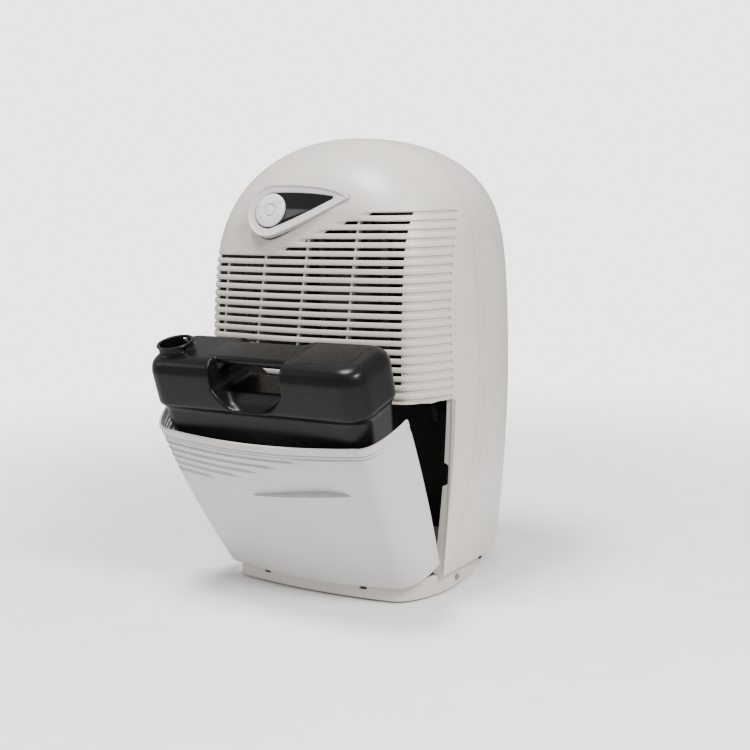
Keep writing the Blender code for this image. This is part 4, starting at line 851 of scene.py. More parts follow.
@dataclass
class RearCover:
    """The rear moulding with its intake opening, the louvred intake panel and the fittings."""

    form: CaseForm
    wall: float = 0.0028
    flat_inset: float = 0.075
    side_y: float = 0.0
    intake_half: tuple[float, float] = (0.094, 0.108)
    intake_z: float = 0.352
    intake_radius: float = 0.012
    arch_points: int = 129
    round_steps: int = 14
    side_stations: tuple[float, ...] = (0.0, 0.004, 0.02, 0.35, 0.42, 0.44, 0.62, 0.64, 0.8)
    channel_share: tuple[float, float] = (0.43, 0.63)   # the channel's edges along the side
    channel_depth: float = 0.0011
    channel_low: tuple[float, float] = (0.12, 0.04)     # starts here, fully deep after this
    channel_high: tuple[float, float] = (0.47, 0.03)
    parting_bevel: float = 0.0005
    cord_hole: float = 0.0064
    drain_hole: float = 0.0069
    tongue_insets: tuple[float, float] = (0.0033, 0.0048)
    tongue_half: float = 0.004
    louvres: int = 17
    louvre_pitch: float = 0.01152
    louvre_lean: float = -32.0
    louvre_chord: float = 0.0078
    louvre_setback: float = 0.0035
    post_width: float = 0.003
    post_setback: float = 0.0072
    blade_thick: float = 0.0016
    blade_entry: float = 0.001      # how far the blades run into the frame
    frame_width: float = 0.012
    frame_round: float = 0.0018
    body: str = "case"

    def surface(self) -> bpy.types.Mesh:
        """The open outer surface: straight sides, a shallow side channel, then a rounded back."""
        arch = self.form.outline(self.arch_points)
        start = self.form.parting_at(arch[:, 1]) + self.form.gap
        stations = [("side", s) for s in self.side_stations]
        stations += [("round", k / self.round_steps) for k in range(self.round_steps + 1)]
        bm = bmesh.new()
        rings = []
        for kind, share in stations:
            if kind == "side":
                y = start + (self.side_y - start) * share
                near, far = self.channel_share
                inset = np.full(len(arch), self.parting_bevel if share == 0.0 else 0.0)
                if near < share < far:
                    rise = np.clip((arch[:, 1] - self.channel_low[0]) / self.channel_low[1], 0, 1)
                    fall = np.clip((self.channel_high[0] - arch[:, 1]) / self.channel_high[1], 0, 1)
                    inset = self.channel_depth * rise * fall
            else:
                angle = math.pi / 2 * share
                y = np.full(len(arch), self.side_y + (self.form.rear - self.side_y) * math.sin(angle))
                inset = self.flat_inset * (1 - math.cos(angle)) * np.ones(len(arch))
            x = arch[:, 0] * (1 - inset / self.form.half_width)
            z = arch[:, 1] - inset * self.form.lift(arch[:, 1]) ** 2
            rings.append([bm.verts.new(p) for p in zip(x, y, z)])
        for upper, lower in zip(rings, rings[1:]):
            for i in range(len(arch) - 1):
                bm.faces.new((upper[i], upper[i + 1], lower[i + 1], lower[i]))
        bm.faces.new(rings[-1])
        bmesh.ops.recalc_face_normals(bm, faces=bm.faces)
        if sum(f.normal.dot(f.calc_center_median() - Vector((0, 0, 0.27))) for f in bm.faces) < 0:
            bmesh.ops.reverse_faces(bm, faces=bm.faces)
        mesh = bpy.data.meshes.new("rear_surface")
        bm.to_mesh(mesh)
        bm.free()
        return mesh

    def build(self) -> None:
        """Make the moulding, the intake panel and their fittings."""
        shell = helper("rear_shell", self.surface())
        solid = shell.modifiers.new("wall", "SOLIDIFY")
        solid.thickness = self.wall
        solid.offset = -1.0
        solid.use_even_offset = True
        closed = apply_modifiers(shell)
        half_x, half_z = self.intake_half
        opening = rounded_box(Vector((-half_x, 0.10, self.intake_z - half_z)),
                              Vector((half_x, 0.20, self.intake_z + half_z)), self.intake_radius, 5)
        tools = [(mesh_of("opening", opening), "DIFFERENCE")]
        for node, radius in (("cord_inlet", self.cord_hole), ("drain_spigot", self.drain_hole)):
            low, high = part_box(node)
            middle = (low + high) / 2
            turn = Matrix.Translation(middle) @ Matrix.Rotation(math.pi / 2, 4, "X")
            tools.append((turned_mesh("hole", [(radius, -0.03), (radius, 0.03)], turn, 40), "DIFFERENCE"))
        mesh = cut_mesh(closed, tools)
        place_mesh("rear_moulding", mesh, CASE_ABS, self.body, ("rear_cover",), 40.0)
        self.seam_lip()
        self.intake_panel()

    def seam_lip(self) -> None:
        """The tongue behind the parting line, which closes the seam from inside."""
        arch = self.form.outline(self.arch_points)
        lift = self.form.lift(arch[:, 1])
        rows = {inset: [] for inset in self.tongue_insets}
        for inset, made in rows.items():
            x = arch[:, 0] * (1 - inset / self.form.half_width)
            z = arch[:, 1] - inset * lift ** 2
            for off in (-self.tongue_half, 0.0, self.tongue_half):
                made.append(np.column_stack((x, self.form.parting_at(arch[:, 1]) + off, z)))
        mesh = shell_mesh("seam_tongue", *(np.array(made) for made in rows.values()))
        place_mesh("seam_tongue", mesh, CASE_ABS, self.body)

    def intake_panel(self) -> None:
        """The clip-on intake: a rounded frame with slanted louvre blades, made by a node tree."""
        low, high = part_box("rear_grille")
        frame = mesh_of("frame", rounded_box(low, high, self.frame_round, 3))
        wide = self.frame_width
        pocket = rounded_box(Vector((low.x + wide, low.y - 0.02, low.z + wide)),
                             Vector((high.x - wide, high.y + 0.02, high.z - wide)), 0.003, 3)
        body_mesh = cut_mesh(frame, [(mesh_of("pocket", pocket), "DIFFERENCE")])
        place_mesh("intake_frame", body_mesh, CASE_ABS, "intake", ("rear_grille",))
        middle = (low + high) / 2
        inner = high - low - Vector((1, 1, 1)) * (2 * wide - self.blade_entry)
        count = self.louvres
        start = Vector((middle.x, high.y - self.louvre_setback,
                        middle.z - (count - 1) / 2 * self.louvre_pitch))
        blades = Repeat.box_row("intake_louvres", start, Vector((0, 0, self.louvre_pitch)), count,
                                Vector((inner.x, self.blade_thick, self.louvre_chord)),
                                Vector((math.radians(self.louvre_lean), 0, 0)), CASE_ABS)
        place_mesh("intake_louvres", blades, CASE_ABS, "intake")
        quarter = (high.x - low.x) / 4
        first = Vector((low.x + quarter, high.y - self.post_setback, middle.z))
        posts = Repeat.box_row("intake_posts", first, Vector((quarter, 0, 0)), 3,
                               Vector((self.post_width, self.blade_thick, inner.z)),
                               Vector((0, 0, 0)), CASE_ABS)
        place_mesh("intake_posts", posts, CASE_ABS, "intake")


# ---------------------------------------------------------------- the control panel
@dataclass
class ControlPanel:
    """Teardrop bezel, black window and the round cluster of keys, in a plane that leans back."""

    centre: tuple[float, float, float] = (-0.0484, -0.1300, 0.4596)
    lean: float = 20.0
    radius: float = 0.033
    tip: tuple[float, float] = (0.107, 0.015)
    rim: float = 0.0108
    proud: float = 0.0015
    key_radius: float = 0.0205
    mode_radius: float = 0.0068
    line: float = 0.0007
    splits: tuple[float, ...] = (35.0, 165.0, 270.0)
    tip_draw: float = 2.0           # an inset moves the tip back by this many times itself
    tip_half: float = 0.0015
    round_span: tuple[float, float] = (95.0, 280.0)
    low_bend: tuple[float, float] = (1.25, -0.66)    # where the flanks head for, in radii
    high_bend: tuple[float, float] = (2.3, 1.02)
    # The bezel's face, from its outer edge inwards: distance from the edge and height.
    bezel_face: tuple[tuple[float, float], ...] = ((0.0, -0.0010), (0.0004, -0.0002), (0.0012, 0.0003),
                                                   (0.0024, 0.0002), (0.0036, -0.0008),
                                                   (0.0046, -0.0012), (0.0098, -0.0010),
                                                   (0.0106, -0.0013), (0.0108, -0.0020))
    bezel_depth: float = 0.006
    window_thick: float = 0.0029
    window_drop: float = 0.0021
    window_lap: float = 0.0003
    key_drop: float = 0.0030        # the keys reach this far below the bezel's face
    key_rise: float = 0.0005
    key_soft: float = 0.0004
    key_hub: float = 0.0006
    # On each ring key: its direction and how many sides its mark has.
    marks: tuple[tuple[float, int], ...] = ((100.0, 3), (217.0, 24), (332.0, 4))
    mark_orbit: float = 0.0145
    mark_radius: float = 0.0011
    mark_thick: float = 0.00012
    body: str = "case"

    def matrix(self) -> Matrix:
        """From the panel's own plane to the machine."""
        return Matrix.Translation(self.centre) @ Matrix.Rotation(math.radians(90 - self.lean), 4, "X")

    def outline(self, inset: float, height: float, steps: int = 26) -> np.ndarray:
        """The teardrop, set in from the bezel's outer edge, at a height over the plane."""
        radius = self.radius - inset
        tip_x, tip_y = self.tip[0] - inset * self.tip_draw, self.tip[1]
        angles = np.radians(np.linspace(*self.round_span, 48))
        points = [(radius * math.cos(a), radius * math.sin(a)) for a in angles]
        start, end = points[-1], points[0]
        low, high = ([radius * share for share in bend] for bend in (self.low_bend, self.high_bend))
        flanks = ((start, low, (tip_x, tip_y - self.tip_half), np.linspace(0, 1, steps)[1:]),
                  ((tip_x, tip_y + self.tip_half), high, end, np.linspace(0, 1, steps)[:-1]))
        for first, bend, last, shares in flanks:
            for t in shares:
                points.append(tuple(first[i] * (1 - t) ** 2 + bend[i] * 2 * t * (1 - t)
                                    + last[i] * t ** 2 for i in (0, 1)))
        return np.array([(x, y, height) for x, y in points])

    def ring(self, sections: list[tuple[float, float]], name: str) -> bpy.types.Mesh:
        """A closed teardrop ring whose cross-section is a loop of insets and heights."""
        loops = [self.outline(inset, height) for inset, height in sections]
        grid = np.array(loops + [loops[0]])
        grid = np.concatenate((grid, grid[:, :1]), axis=1)
        bm = bmesh.new()
        verts = [[bm.verts.new(p) for p in row] for row in grid]
        for i in range(len(verts) - 1):
            for j in range(len(verts[0]) - 1):
                bm.faces.new((verts[i][j], verts[i][j + 1], verts[i + 1][j + 1], verts[i + 1][j]))
        mesh = mesh_of(name, bm)
        mesh.transform(self.matrix())
        return mesh

    def sector(self, start: float, end: float, inner: float, outer: float, low: float,
               high: float, name: str) -> bpy.types.Mesh:
        """A key cut from a ring between two angles, with a softened upper edge."""
        steps = 40
        trim = math.degrees(self.line / 2 / outer)
        soft = self.key_soft
        sections = []
        for inset, z in ((0.0, low), (0.0, high - soft), (soft * 0.4, high - soft * 0.35), (soft, high)):
            out = np.radians(np.linspace(start + trim, end - trim, steps))
            back = np.radians(np.linspace(end - trim, start + trim, steps))
            ring = [((outer - inset) * math.cos(a), (outer - inset) * math.sin(a), z) for a in out]
            ring += [((inner + inset) * math.cos(a), (inner + inset) * math.sin(a), z) for a in back]
            sections.append(np.array(ring))
        mesh = loft_mesh(name, sections)
        mesh.transform(self.matrix())
        return mesh

    def build(self) -> None:
        """Make the bezel, window, well and keys."""
        top = self.proud
        foot = top - self.bezel_depth
        face = [(inset, top + height) for inset, height in self.bezel_face]
        bezel = self.ring([(0.0, foot), *face, (self.rim, foot)], "panel_bezel")
        place_mesh("panel_bezel", bezel, DOOR_ABS, self.body, ("control_bezel",), 50.0)
        edge, lap, glass = self.rim, self.window_lap, top - self.window_drop
        window = loft_mesh("panel_window", [self.outline(edge - lap, glass - self.window_thick),
                                            self.outline(edge - lap, glass),
                                            self.outline(edge + lap * 2 / 3, glass + lap)])
        window.transform(self.matrix())
        place_mesh("panel_window", window, GLOSS_WINDOW, self.body, ("display_window",))
        low, high = top - self.key_drop, top + self.key_rise
        wide, hub, soft = self.mode_radius - self.line / 7, self.key_hub, self.key_soft
        dome = [(hub, low), (wide, low), (wide, high - soft), (self.mode_radius - soft, high),
                (self.mode_radius / 2, high + soft * 3 / 4), (hub, high + soft)]
        mode = turned_mesh("mode_key", dome, self.matrix(), 72)
        place_mesh("mode_key", mode, KEY_ABS, "mode_key", ("mode_button",))
        for number, start in enumerate(self.splits):
            end = self.splits[(number + 1) % 3]
            end += 360.0 if end < start else 0.0
            name = f"cluster_key_{number + 1}"
            mesh = self.sector(start, end, self.mode_radius + self.line, self.key_radius, low, high, name)
            place_mesh(name, mesh, KEY_ABS, f"ring_key_{'abc'[number]}", (f"ring_key_{number + 1}",))
        self.symbols(high)

    def symbols(self, height: float) -> None:
        """Plain printed marks on the ring keys: an arrow head, a dot and a bar."""
        for number, (angle, sides) in enumerate(self.marks):
            bm = bmesh.new()
            bmesh.ops.create_cone(bm, cap_ends=True, segments=sides, radius1=self.mark_radius,
                                  radius2=self.mark_radius, depth=self.mark_thick)
            where = math.radians(angle)
            at = Vector((self.mark_orbit * math.cos(where), self.mark_orbit * math.sin(where),
                         height + self.mark_thick * 5 / 12))
            bmesh.ops.transform(bm, matrix=self.matrix() @ Matrix.Translation(at), verts=bm.verts)
            mesh = mesh_of(f"key_mark_{number + 1}", bm)
            place_mesh(f"key_mark_{number + 1}", mesh, PRINT, f"ring_key_{'abc'[number]}")


# ---------------------------------------------------------------- the bucket door
@dataclass
class BucketDoor:
    """The tilting front of the bucket: lip band, stepped ribs and a finger scoop."""

    form: CaseForm
    top: float = 0.240
    bottom: float = 0.0262
    wall: float = 0.0028
    rear_y: float = -0.0795
    corner_power: float = 2.2
    hinge: tuple[float, float, float] = (0.0, -0.1214, 0.020)
    tilt: float = 27.4
    rib_ends: tuple[tuple[float, float], ...] = ((0.2195, 0.058), (0.2095, 0.023), (0.1995, -0.006),
                                                 (0.1895, -0.035), (0.1795, -0.078))
    rib_depth: float = 0.0027
    rib_height: float = 0.0098
    rib_step: float = 0.0010        # height of the step under each rib
    rib_fade: tuple[float, float] = (0.014, 0.004)   # lengths of the soft and the sharp run-out
    rib_sharp: float = 0.45
    lip_grooves: tuple[float, ...] = (0.2302, 0.2255)
    groove_depth: float = 0.0018
    groove_half: float = 0.0008
    soft_edge: float = 0.0004
    fine_from: float = 0.157        # from here up the rows are close together
    fine_step: float = 0.0007
    wing_edge: float = 0.0005
    skin_give: float = 0.0012       # relief shallower than this leaves the inside flat
    scoop_left: float = -0.025
    scoop_right: float = 0.108
    scoop_low: float = 0.1635
    scoop_rise: float = 0.085
    scoop_high: float = 0.2055
    scoop_depth: float = 0.0066
    scoop_step: float = 0.0024
    flat_columns: int = 110
    corner_columns: int = 26
    shelf_z: float = 0.0335
    shelf_inset: float = 0.016
    shelf_rear: float = -0.030
    lug_x: float = 0.070
    lug_half: float = 0.004
    lug_y: tuple[float, float] = (-0.1272, -0.1156)
    lug_z: tuple[float, float] = (0.0142, 0.0345)
    # Each catch on a wing: the height of its middle and how tall it is.
    catches: tuple[tuple[float, float], ...] = ((0.152, 0.012), (0.058, 0.016))
    catch_proud: float = 0.0007
    catch_root: float = 0.006
    catch_thick: float = 0.0022
    body: str = "door"

    def plan_y(self, x: np.ndarray, z: float) -> np.ndarray:
        """Depth of the outer face at a height."""
        edge = self.form.width_at(z) - self.form.corner_inset
        share = np.clip((np.abs(x) - edge) / self.form.corner_inset, 0, 1)
        rear = self.form.parting_at(z)
        depth = rear - self.form.face_y(edge, z)
        corner = rear - depth * (1 - share ** self.corner_power) ** (1 / self.corner_power)
        return np.where(np.abs(x) <= edge, self.form.face_y(x, z), corner)

    def half_width(self, z: float) -> float:
        """Half width at the wings' rear edges, found by bisection."""
        low, high = self.form.width_at(z) - self.form.corner_inset, self.form.width_at(z)
        for _ in range(40):
            middle = (low + high) / 2
            if self.plan_y(np.array([middle]), z)[0] < self.rear_y:
                low = middle
            else:
                high = middle
        return low

    def row(self, z: float) -> np.ndarray:
        """Points across the door at one height."""
        edge = self.form.width_at(z) - self.form.corner_inset
        wide = self.half_width(z)
        flat = np.linspace(-edge, edge, self.flat_columns)
        turn = edge + (wide - edge) * np.sin(np.linspace(0, math.pi / 2, self.corner_columns + 1)[1:])
        x = np.concatenate((-turn[::-1], flat, turn))
        return np.column_stack((x, self.plan_y(x, z), np.full(len(x), z)))

    def heights(self) -> np.ndarray:
        """Heights of the rows, closer together where the face has detail."""
        rows = list(np.linspace(self.bottom, self.fine_from - 0.001, 30))
        rows += list(np.arange(self.fine_from, self.top - 0.001, self.fine_step))
        rows += [self.top - d for d in (0.0011, 0.0006, 0.0002, 0.0)]
        return np.array(sorted(rows))

    def scoop(self, x: np.ndarray, z: float) -> np.ndarray:
        """Depth of the finger scoop at points of one row."""
        span = (x - self.scoop_left) / (self.scoop_right - self.scoop_left)
        inside = (span > 0) & (span < 1)
        foot = self.scoop_low + (x - self.scoop_left) * self.scoop_rise
        peak = 0.68
        warped = np.where(span < peak, 0.5 * span / peak, 0.5 + 0.5 * (span - peak) / (1 - peak))
        arch = np.sin(np.pi * np.clip(warped, 0, 1)) ** 0.95
        crown = foot + (self.scoop_high - foot) * arch
        share = (crown - z) / np.maximum(self.scoop_high - foot, 1e-6)
        deep = self.scoop_step + self.scoop_depth * np.clip(share, 0, 1)
        return np.where(inside & (z > foot) & (z < crown), deep, 0)

    def relief(self, x: np.ndarray, z: float) -> np.ndarray:
        """How far each point of a row is pressed in."""
        depth = np.zeros(len(x))
        for groove in self.lip_grooves:
            depth += self.groove_depth * math.exp(-((z - groove) / self.groove_half) ** 2)
        if self.lip_grooves[1] - self.soft_edge < z < self.lip_grooves[0]:
            depth += self.soft_edge
        for level, end in self.rib_ends:
            above = level + self.rib_height
            if level - self.rib_step < z < above:
                share = (above - z) / (above - level)
                saw = max(share, 0.0) ** 1.3 if z >= level else max(0.0, 1 + (z - level) / self.rib_step)
                soft, tight = self.rib_fade
                fade = np.clip((end - x) / soft, 0, 1)
                sharp = np.clip((end + tight / 2 - x) / tight, 0, 1) * self.rib_sharp
                depth = np.maximum(depth, self.rib_depth * saw * np.maximum(fade, sharp * saw))
        if z > self.top - self.rib_step:
            depth += self.soft_edge * (1 - (self.top - z) / self.rib_step) ** 2
        return depth + self.scoop(x, z)

    def open_pose(self) -> Matrix:
        """From the shut door's place to the open one."""
        to_hinge = Matrix.Translation(self.hinge)
        return to_hinge @ Matrix.Rotation(math.radians(self.tilt), 4, "X") @ to_hinge.inverted()

    def build(self) -> None:
        """Make the door's skin, its inner works and dress them."""
        heights = self.heights()
        points = np.array([self.row(z) for z in heights])
        normals = grid_normals(points)
        depth = np.array([self.relief(row[:, 0], z) for row, z in zip(points, heights)])
        roll = np.zeros(len(points[0]))
        roll[0] = roll[-1] = self.wing_edge
        outer = points - normals * (depth + roll)[:, :, None]
        inner = points - normals * (self.wall + np.clip(depth - self.skin_give, 0, None))[:, :, None]
        mesh = shell_mesh("door_skin", outer, inner)
        mesh.transform(self.open_pose())
        place_mesh("door_skin", mesh, DOOR_ABS, self.body, ("bucket_door",), 42.0)
        self.shelf()
        self.tabs()

    def shelf(self) -> None:
        """The shelf inside that carries the tank, and the two lugs that turn on the pins."""
        z = self.shelf_z
        wide = self.form.width_at(z) - self.shelf_inset
        xs = np.linspace(-wide, wide, 48)
        front = self.plan_y(xs, z) + self.wall * 0.7
        rows_low, rows_high = [], []
        for share in np.linspace(0, 1, 6):
            y = front + (self.shelf_rear - front) * share
            rows_low.append(np.column_stack((xs, y, np.full(len(xs), z))))
            rows_high.append(np.column_stack((xs, y, np.full(len(xs), z + self.wall))))
        mesh = shell_mesh("door_shelf", np.array(rows_high), np.array(rows_low))
        mesh.transform(self.open_pose())
        place_mesh("door_shelf", mesh, DOOR_ABS, self.body)
        joined = bmesh.new()
        for side in (-1, 1):
            middle = side * self.lug_x
            lug = rounded_box(Vector((middle - self.lug_half, self.lug_y[0], self.lug_z[0])),
                              Vector((middle + self.lug_half, self.lug_y[1], self.lug_z[1])), 0.0012)
            part = mesh_of("lug", lug)
            joined.from_mesh(part)
            bpy.data.meshes.remove(part)
        bmesh.ops.transform(joined, matrix=self.open_pose(), verts=joined.verts)
        place_mesh("door_lugs", mesh_of("door_lugs", joined), DOOR_ABS, self.body)

    def tabs(self) -> None:
        """The small catches on the rear edges of the wings."""
        joined = bmesh.new()
        for side in (-1, 1):
            for z, tall in self.catches:
                wide = self.half_width(z) - self.wall
                x_low, x_high = sorted((side * wide, side * (wide - self.catch_thick)))
                tab = rounded_box(Vector((x_low, self.rear_y - self.catch_root, z - tall / 2)),
                                  Vector((x_high, self.rear_y + self.catch_proud, z + tall / 2)), 0.0006)
                part = mesh_of("tab", tab)
                joined.from_mesh(part)
                bpy.data.meshes.remove(part)
        bmesh.ops.transform(joined, matrix=self.open_pose(), verts=joined.verts)
        place_mesh("door_catches", mesh_of("door_catches", joined), DOOR_ABS, self.body)


# ---------------------------------------------------------------- the water tank
@dataclass
class WaterTank:
    """Blow-moulded tank, lifted and leaning forward, with a bridge grip, a lid and a filling neck."""

    place: tuple[float, float, float] = (0.0, -0.1750, 0.1614)
    lean: float = 16.0
    half_width: float = 0.147
    depth: float = 0.090
    height: float = 0.150
    wall: float = 0.003
    corner: float = 0.024
    waist: float = 0.005
    waist_z: float = 0.088
    foot_taper: float = 0.007
    grip: tuple[float, float] = (-0.052, 0.046)
    grip_half_depth: float = 0.021
    gap_z: tuple[float, float] = (0.108, 0.139)
    scoop_z: float = 0.092
    # How far the scoop's plans beside the grip draw in at their ends, from its floor upwards.
    scoop_corner: float = 0.008
    scoop_ends: tuple[float, ...] = (0.030, 0.017, 0.007, 0.0, 0.0)
    grip_corner: float = 0.013
    gap_reach: float = 0.035
    tower_corner: float = 0.016
    # Each plan of a tower's inside, measured down from the top: how far down, and how far in.
    tower_head: tuple[tuple[float, float], ...] = ((0.012, 0.001), (0.006, 0.005), (0.003, 0.010))
    # How far the foot is rounded off at each height, and the top at each depth below it.
    foot_round: tuple[tuple[float, float], ...] = ((0.0, 0.021), (0.002, 0.017), (0.005, 0.0135),
                                                   (0.014, 0.0095), (0.030, 0.0065))
    top_round: tuple[tuple[float, float], ...] = ((0.018, 0.0), (0.012, 0.0010), (0.007, 0.0031),
                                                  (0.0035, 0.0066), (0.0012, 0.0110), (0.0, 0.0160))
    neck: tuple[float, float] = (-0.118, -0.012)
    neck_radius: float = 0.0225
    neck_bore: float = 0.0190
    neck_top: float = 0.160
    voxel: float = 0.0017
    body: str = "water_tank"

    def matrix(self) -> Matrix:
        """From the tank's own foot to its lifted place."""
        return Matrix.Translation(self.place) @ Matrix.Rotation(math.radians(self.lean), 4, "X")

    @staticmethod
    def plan(half: tuple[float, float], radius: float, z: float,
             middle: tuple[float, float] = (0.0, 0.0), steps: int = 12) -> np.ndarray:
        """A rounded rectangle at a height."""
        radius = min(radius, half[0] - 1e-4, half[1] - 1e-4)
        points = []
        for corner, (sx, sy) in enumerate(((1, 1), (-1, 1), (-1, -1), (1, -1))):
            centre = (middle[0] + sx * (half[0] - radius), middle[1] + sy * (half[1] - radius))
            for a in np.linspace(corner * 90, corner * 90 + 90, steps):
                turn = math.radians(a)
                points.append((centre[0] + radius * math.cos(turn), centre[1] + radius * math.sin(turn), z))
        return np.array(points)

    def sections(self, inset: float) -> list[np.ndarray]:
        """Plans from the underside to the top, set in by a wall."""
        top, waist = self.height, self.waist_z
        stations = (*self.foot_round, (waist - 0.004, self.waist), (waist, self.waist * 0.8),
                    (waist + 0.005, 0.0), *((top - below, drawn) for below, drawn in self.top_round))
        made = []
        for z, drawn in stations:
            narrow = self.foot_taper * max(0.0, 1 - z / self.waist_z)
            level = inset + z * (self.height - 2 * inset) / self.height
            total = drawn + inset
            half = (self.half_width - total - narrow, self.depth / 2 - total)
            made.append(self.plan(half, self.corner - total * 0.5, level))
        return made

    def scoops(self) -> list[tuple[bpy.types.Mesh, str]]:
        """The hollows in front of and behind the grip, and the gap for the fingers under it."""
        tools = []
        left, right = self.grip
        for front in (-1, 1):
            rings = []
            far = self.depth / 2 + 0.02
            inner = ((self.scoop_z, self.depth / 2 - self.waist),
                     (self.scoop_z + 0.006, self.depth / 2 - 0.012),
                     (self.gap_z[0], self.grip_half_depth + self.wall),
                     (self.gap_z[0] + 0.010, self.grip_half_depth),
                     (self.height + 0.010, self.grip_half_depth))
            for (z, near), draw in zip(inner, self.scoop_ends):
                rings.append(self.plan(((right - left) / 2 - draw, (far - near) / 2), self.scoop_corner, z,
                                       ((left + right) / 2, front * (near + far) / 2)))
            tools.append((loft_mesh("scoop", rings), "DIFFERENCE"))
        half = ((right - left) / 2, (self.gap_z[1] - self.gap_z[0]) / 2)
        middle = ((left + right) / 2, (self.gap_z[0] + self.gap_z[1]) / 2)
        flat = self.plan(half, self.grip_corner, 0.0, middle)
        rings = [np.column_stack((flat[:, 0], np.full(len(flat), side * self.gap_reach), flat[:, 1]))
                 for side in (-1, 1)]
        tools.append((loft_mesh("finger_gap", rings), "DIFFERENCE"))
        return tools

    def hollow(self) -> list[tuple[bpy.types.Mesh, str]]:
        """The room for the water: a low basin and a tower at each end."""
        top = self.scoop_z - self.wall
        low = [ring for ring in self.sections(self.wall) if ring[0, 2] < self.waist_z - 0.001]
        last = low[-1].copy()
        last[:, 2] = top
        tools = [(loft_mesh("basin", low + [last]), "DIFFERENCE")]
        left, right = self.grip
        for x_low, x_high in ((-self.half_width + self.wall, left - self.wall),
                              (right + self.wall, self.half_width - self.wall)):
            middle = ((x_low + x_high) / 2, 0.0)
            rings = []
            head = ((self.height - below, inset) for below, inset in self.tower_head)
            for z, inset in ((top - self.wall, self.waist), (top + 0.006, 0.0), *head):
                rings.append(self.plan(((x_high - x_low) / 2 - inset, self.depth / 2 - self.wall - inset),
                                       self.tower_corner, z, middle))
            tools.append((loft_mesh("tower", rings), "DIFFERENCE"))
        return tools

    def build(self) -> None:
        """Make the tank, its neck, grip flange and lid, and dress them."""
        body_mesh = loft_mesh("tank_body", self.sections(0.0))
        upright = Matrix.Translation((*self.neck, 0.0))
        spout = turned_mesh("spout", [(self.neck_radius - 0.0020, self.height - 0.012),
                                      (self.neck_radius - 0.0020, self.neck_top - 0.0005)], upright, 72)
        bore = turned_mesh("bore", [(self.neck_bore, self.height - 0.020),
                                    (self.neck_bore, self.neck_top + 0.010)], upright, 72)
        tools = self.scoops() + [(spout, "UNION")] + self.hollow() + [(bore, "DIFFERENCE")]
        work = helper("tank_work", cut_mesh(body_mesh, tools))
        remesh = work.modifiers.new("skin", "REMESH")
        remesh.mode = "VOXEL"
        remesh.voxel_size = self.voxel
        smooth = work.modifiers.new("soften", "SMOOTH")
        smooth.factor = 0.5
        smooth.iterations = 4
        mesh = apply_modifiers(work)
        mesh.transform(self.matrix())
        place_mesh("tank_body", mesh, TANK_PE, self.body, ("tank",), 60.0)
        self.trim()

    def trim(self) -> None:
        """The neck's rim and thread, the grip's flange and the lid plate on the right."""
        upright = self.matrix() @ Matrix.Translation((*self.neck, 0.0))
        out, bore, top = self.neck_radius, self.neck_bore, self.neck_top
        rim = [(bore - 0.0004, top - 0.003), (out - 0.0016, top - 0.003), (out - 0.0003, top - 0.0024),
               (out - 0.0001, top - 0.0012), (out - 0.0008, top - 0.0002), (bore + 0.0012, top - 0.0002),
               (bore - 0.0004, top - 0.0010)]
        rings = [np.column_stack((r * np.cos(a), r * np.sin(a), np.full(73, z)))
                 for a in [np.linspace(0, 2 * math.pi, 73)] for r, z in rim + [rim[0]]]
        bm = bmesh.new()
        made = [[bm.verts.new(p) for p in ring] for ring in rings]
        for upper, lower in zip(made, made[1:]):
            for i in range(len(upper) - 1):
                bm.faces.new((upper[i], upper[i + 1], lower[i + 1], lower[i]))
        mesh = mesh_of("neck_rim", bm)
        mesh.transform(upright)
        place_mesh("neck_rim", mesh, TANK_PE, self.body)
        left, right = self.grip
        flange = mesh_of("grip_flange", rounded_box(
            Vector((left - 0.016, -self.grip_half_depth - 0.0042, self.gap_z[1] + 0.0020)),
            Vector((right + 0.005, self.grip_half_depth + 0.0010, self.height + 0.0004)), 0.0042, 6))
        flange.transform(self.matrix())
        place_mesh("grip_flange", flange, TANK_PE, self.body)
        lid = mesh_of("lid_plate", rounded_box(Vector((right + 0.008, -0.028, self.height - 0.004)),
                                               Vector((self.half_width - 0.020, 0.026, self.height + 0.0004)),
                                               0.0016, 4))
        lid.transform(self.matrix())
        place_mesh("lid_plate", lid, TANK_PE, self.body)


# ---------------------------------------------------------------- everything under the skin
class Interior:
    """The frame's own pieces that are seen as they are, each with its finish."""

    FINISHES: dict[str, Finish] = {
        "accumulator": ENAMEL, "base_pan": BASE_ABS, "compressor": ENAMEL, "compressor_mount": RUBBER,
        "compressor_plate": GALVANISED, "condenser_coil": COIL_FINS, "control_board": BOARD,
        "cord_inlet": BLACK_PP, "deck": BLACK_PP, "discharge_pipe": COPPER, "drain_plug": RUBBER,
        "drain_spigot": DOOR_ABS, "drip_tray": BLACK_PP, "drip_trough": BLACK_PP,
        "evaporator_coil": COIL_FINS, "fan_blade": FAN_PP, "fan_motor": MOTOR_PAINT, "fan_shaft": STEEL,
        "fan_shroud": BLACK_PP, "filter_pad": FOAM, "foot": RUBBER, "hinge_pin": STEEL,
        "motor_bracket": GALVANISED, "rear_screw": STEEL, "run_capacitor": ALUMINIUM,
        "side_screw": STEEL, "suction_pipe": COPPER, "switch_lever": STEEL, "tank_bay": BLACK_PP,
        "tank_switch": BLACK_PP, "terminal_cover": BLACK_PP,
    }

    @classmethod
    def finish_of(cls, name: str) -> Finish:
        """The finish of a node, by the longest matching start of its name.

        Args:
            name: The node's name.

        Returns:
            Its finish.
        """
        starts = [key for key in cls.FINISHES if name.startswith(key)]
        return cls.FINISHES[max(starts, key=len)] if starts else CASE_ABS

    @classmethod
    def dress(cls, nodes: dict[str, bpy.types.Object]) -> None:
        """Give every node of the frame its finish."""
        for name, obj in nodes.items():
            obj.data.materials.clear()
            obj.data.materials.append(cls.finish_of(name).build())


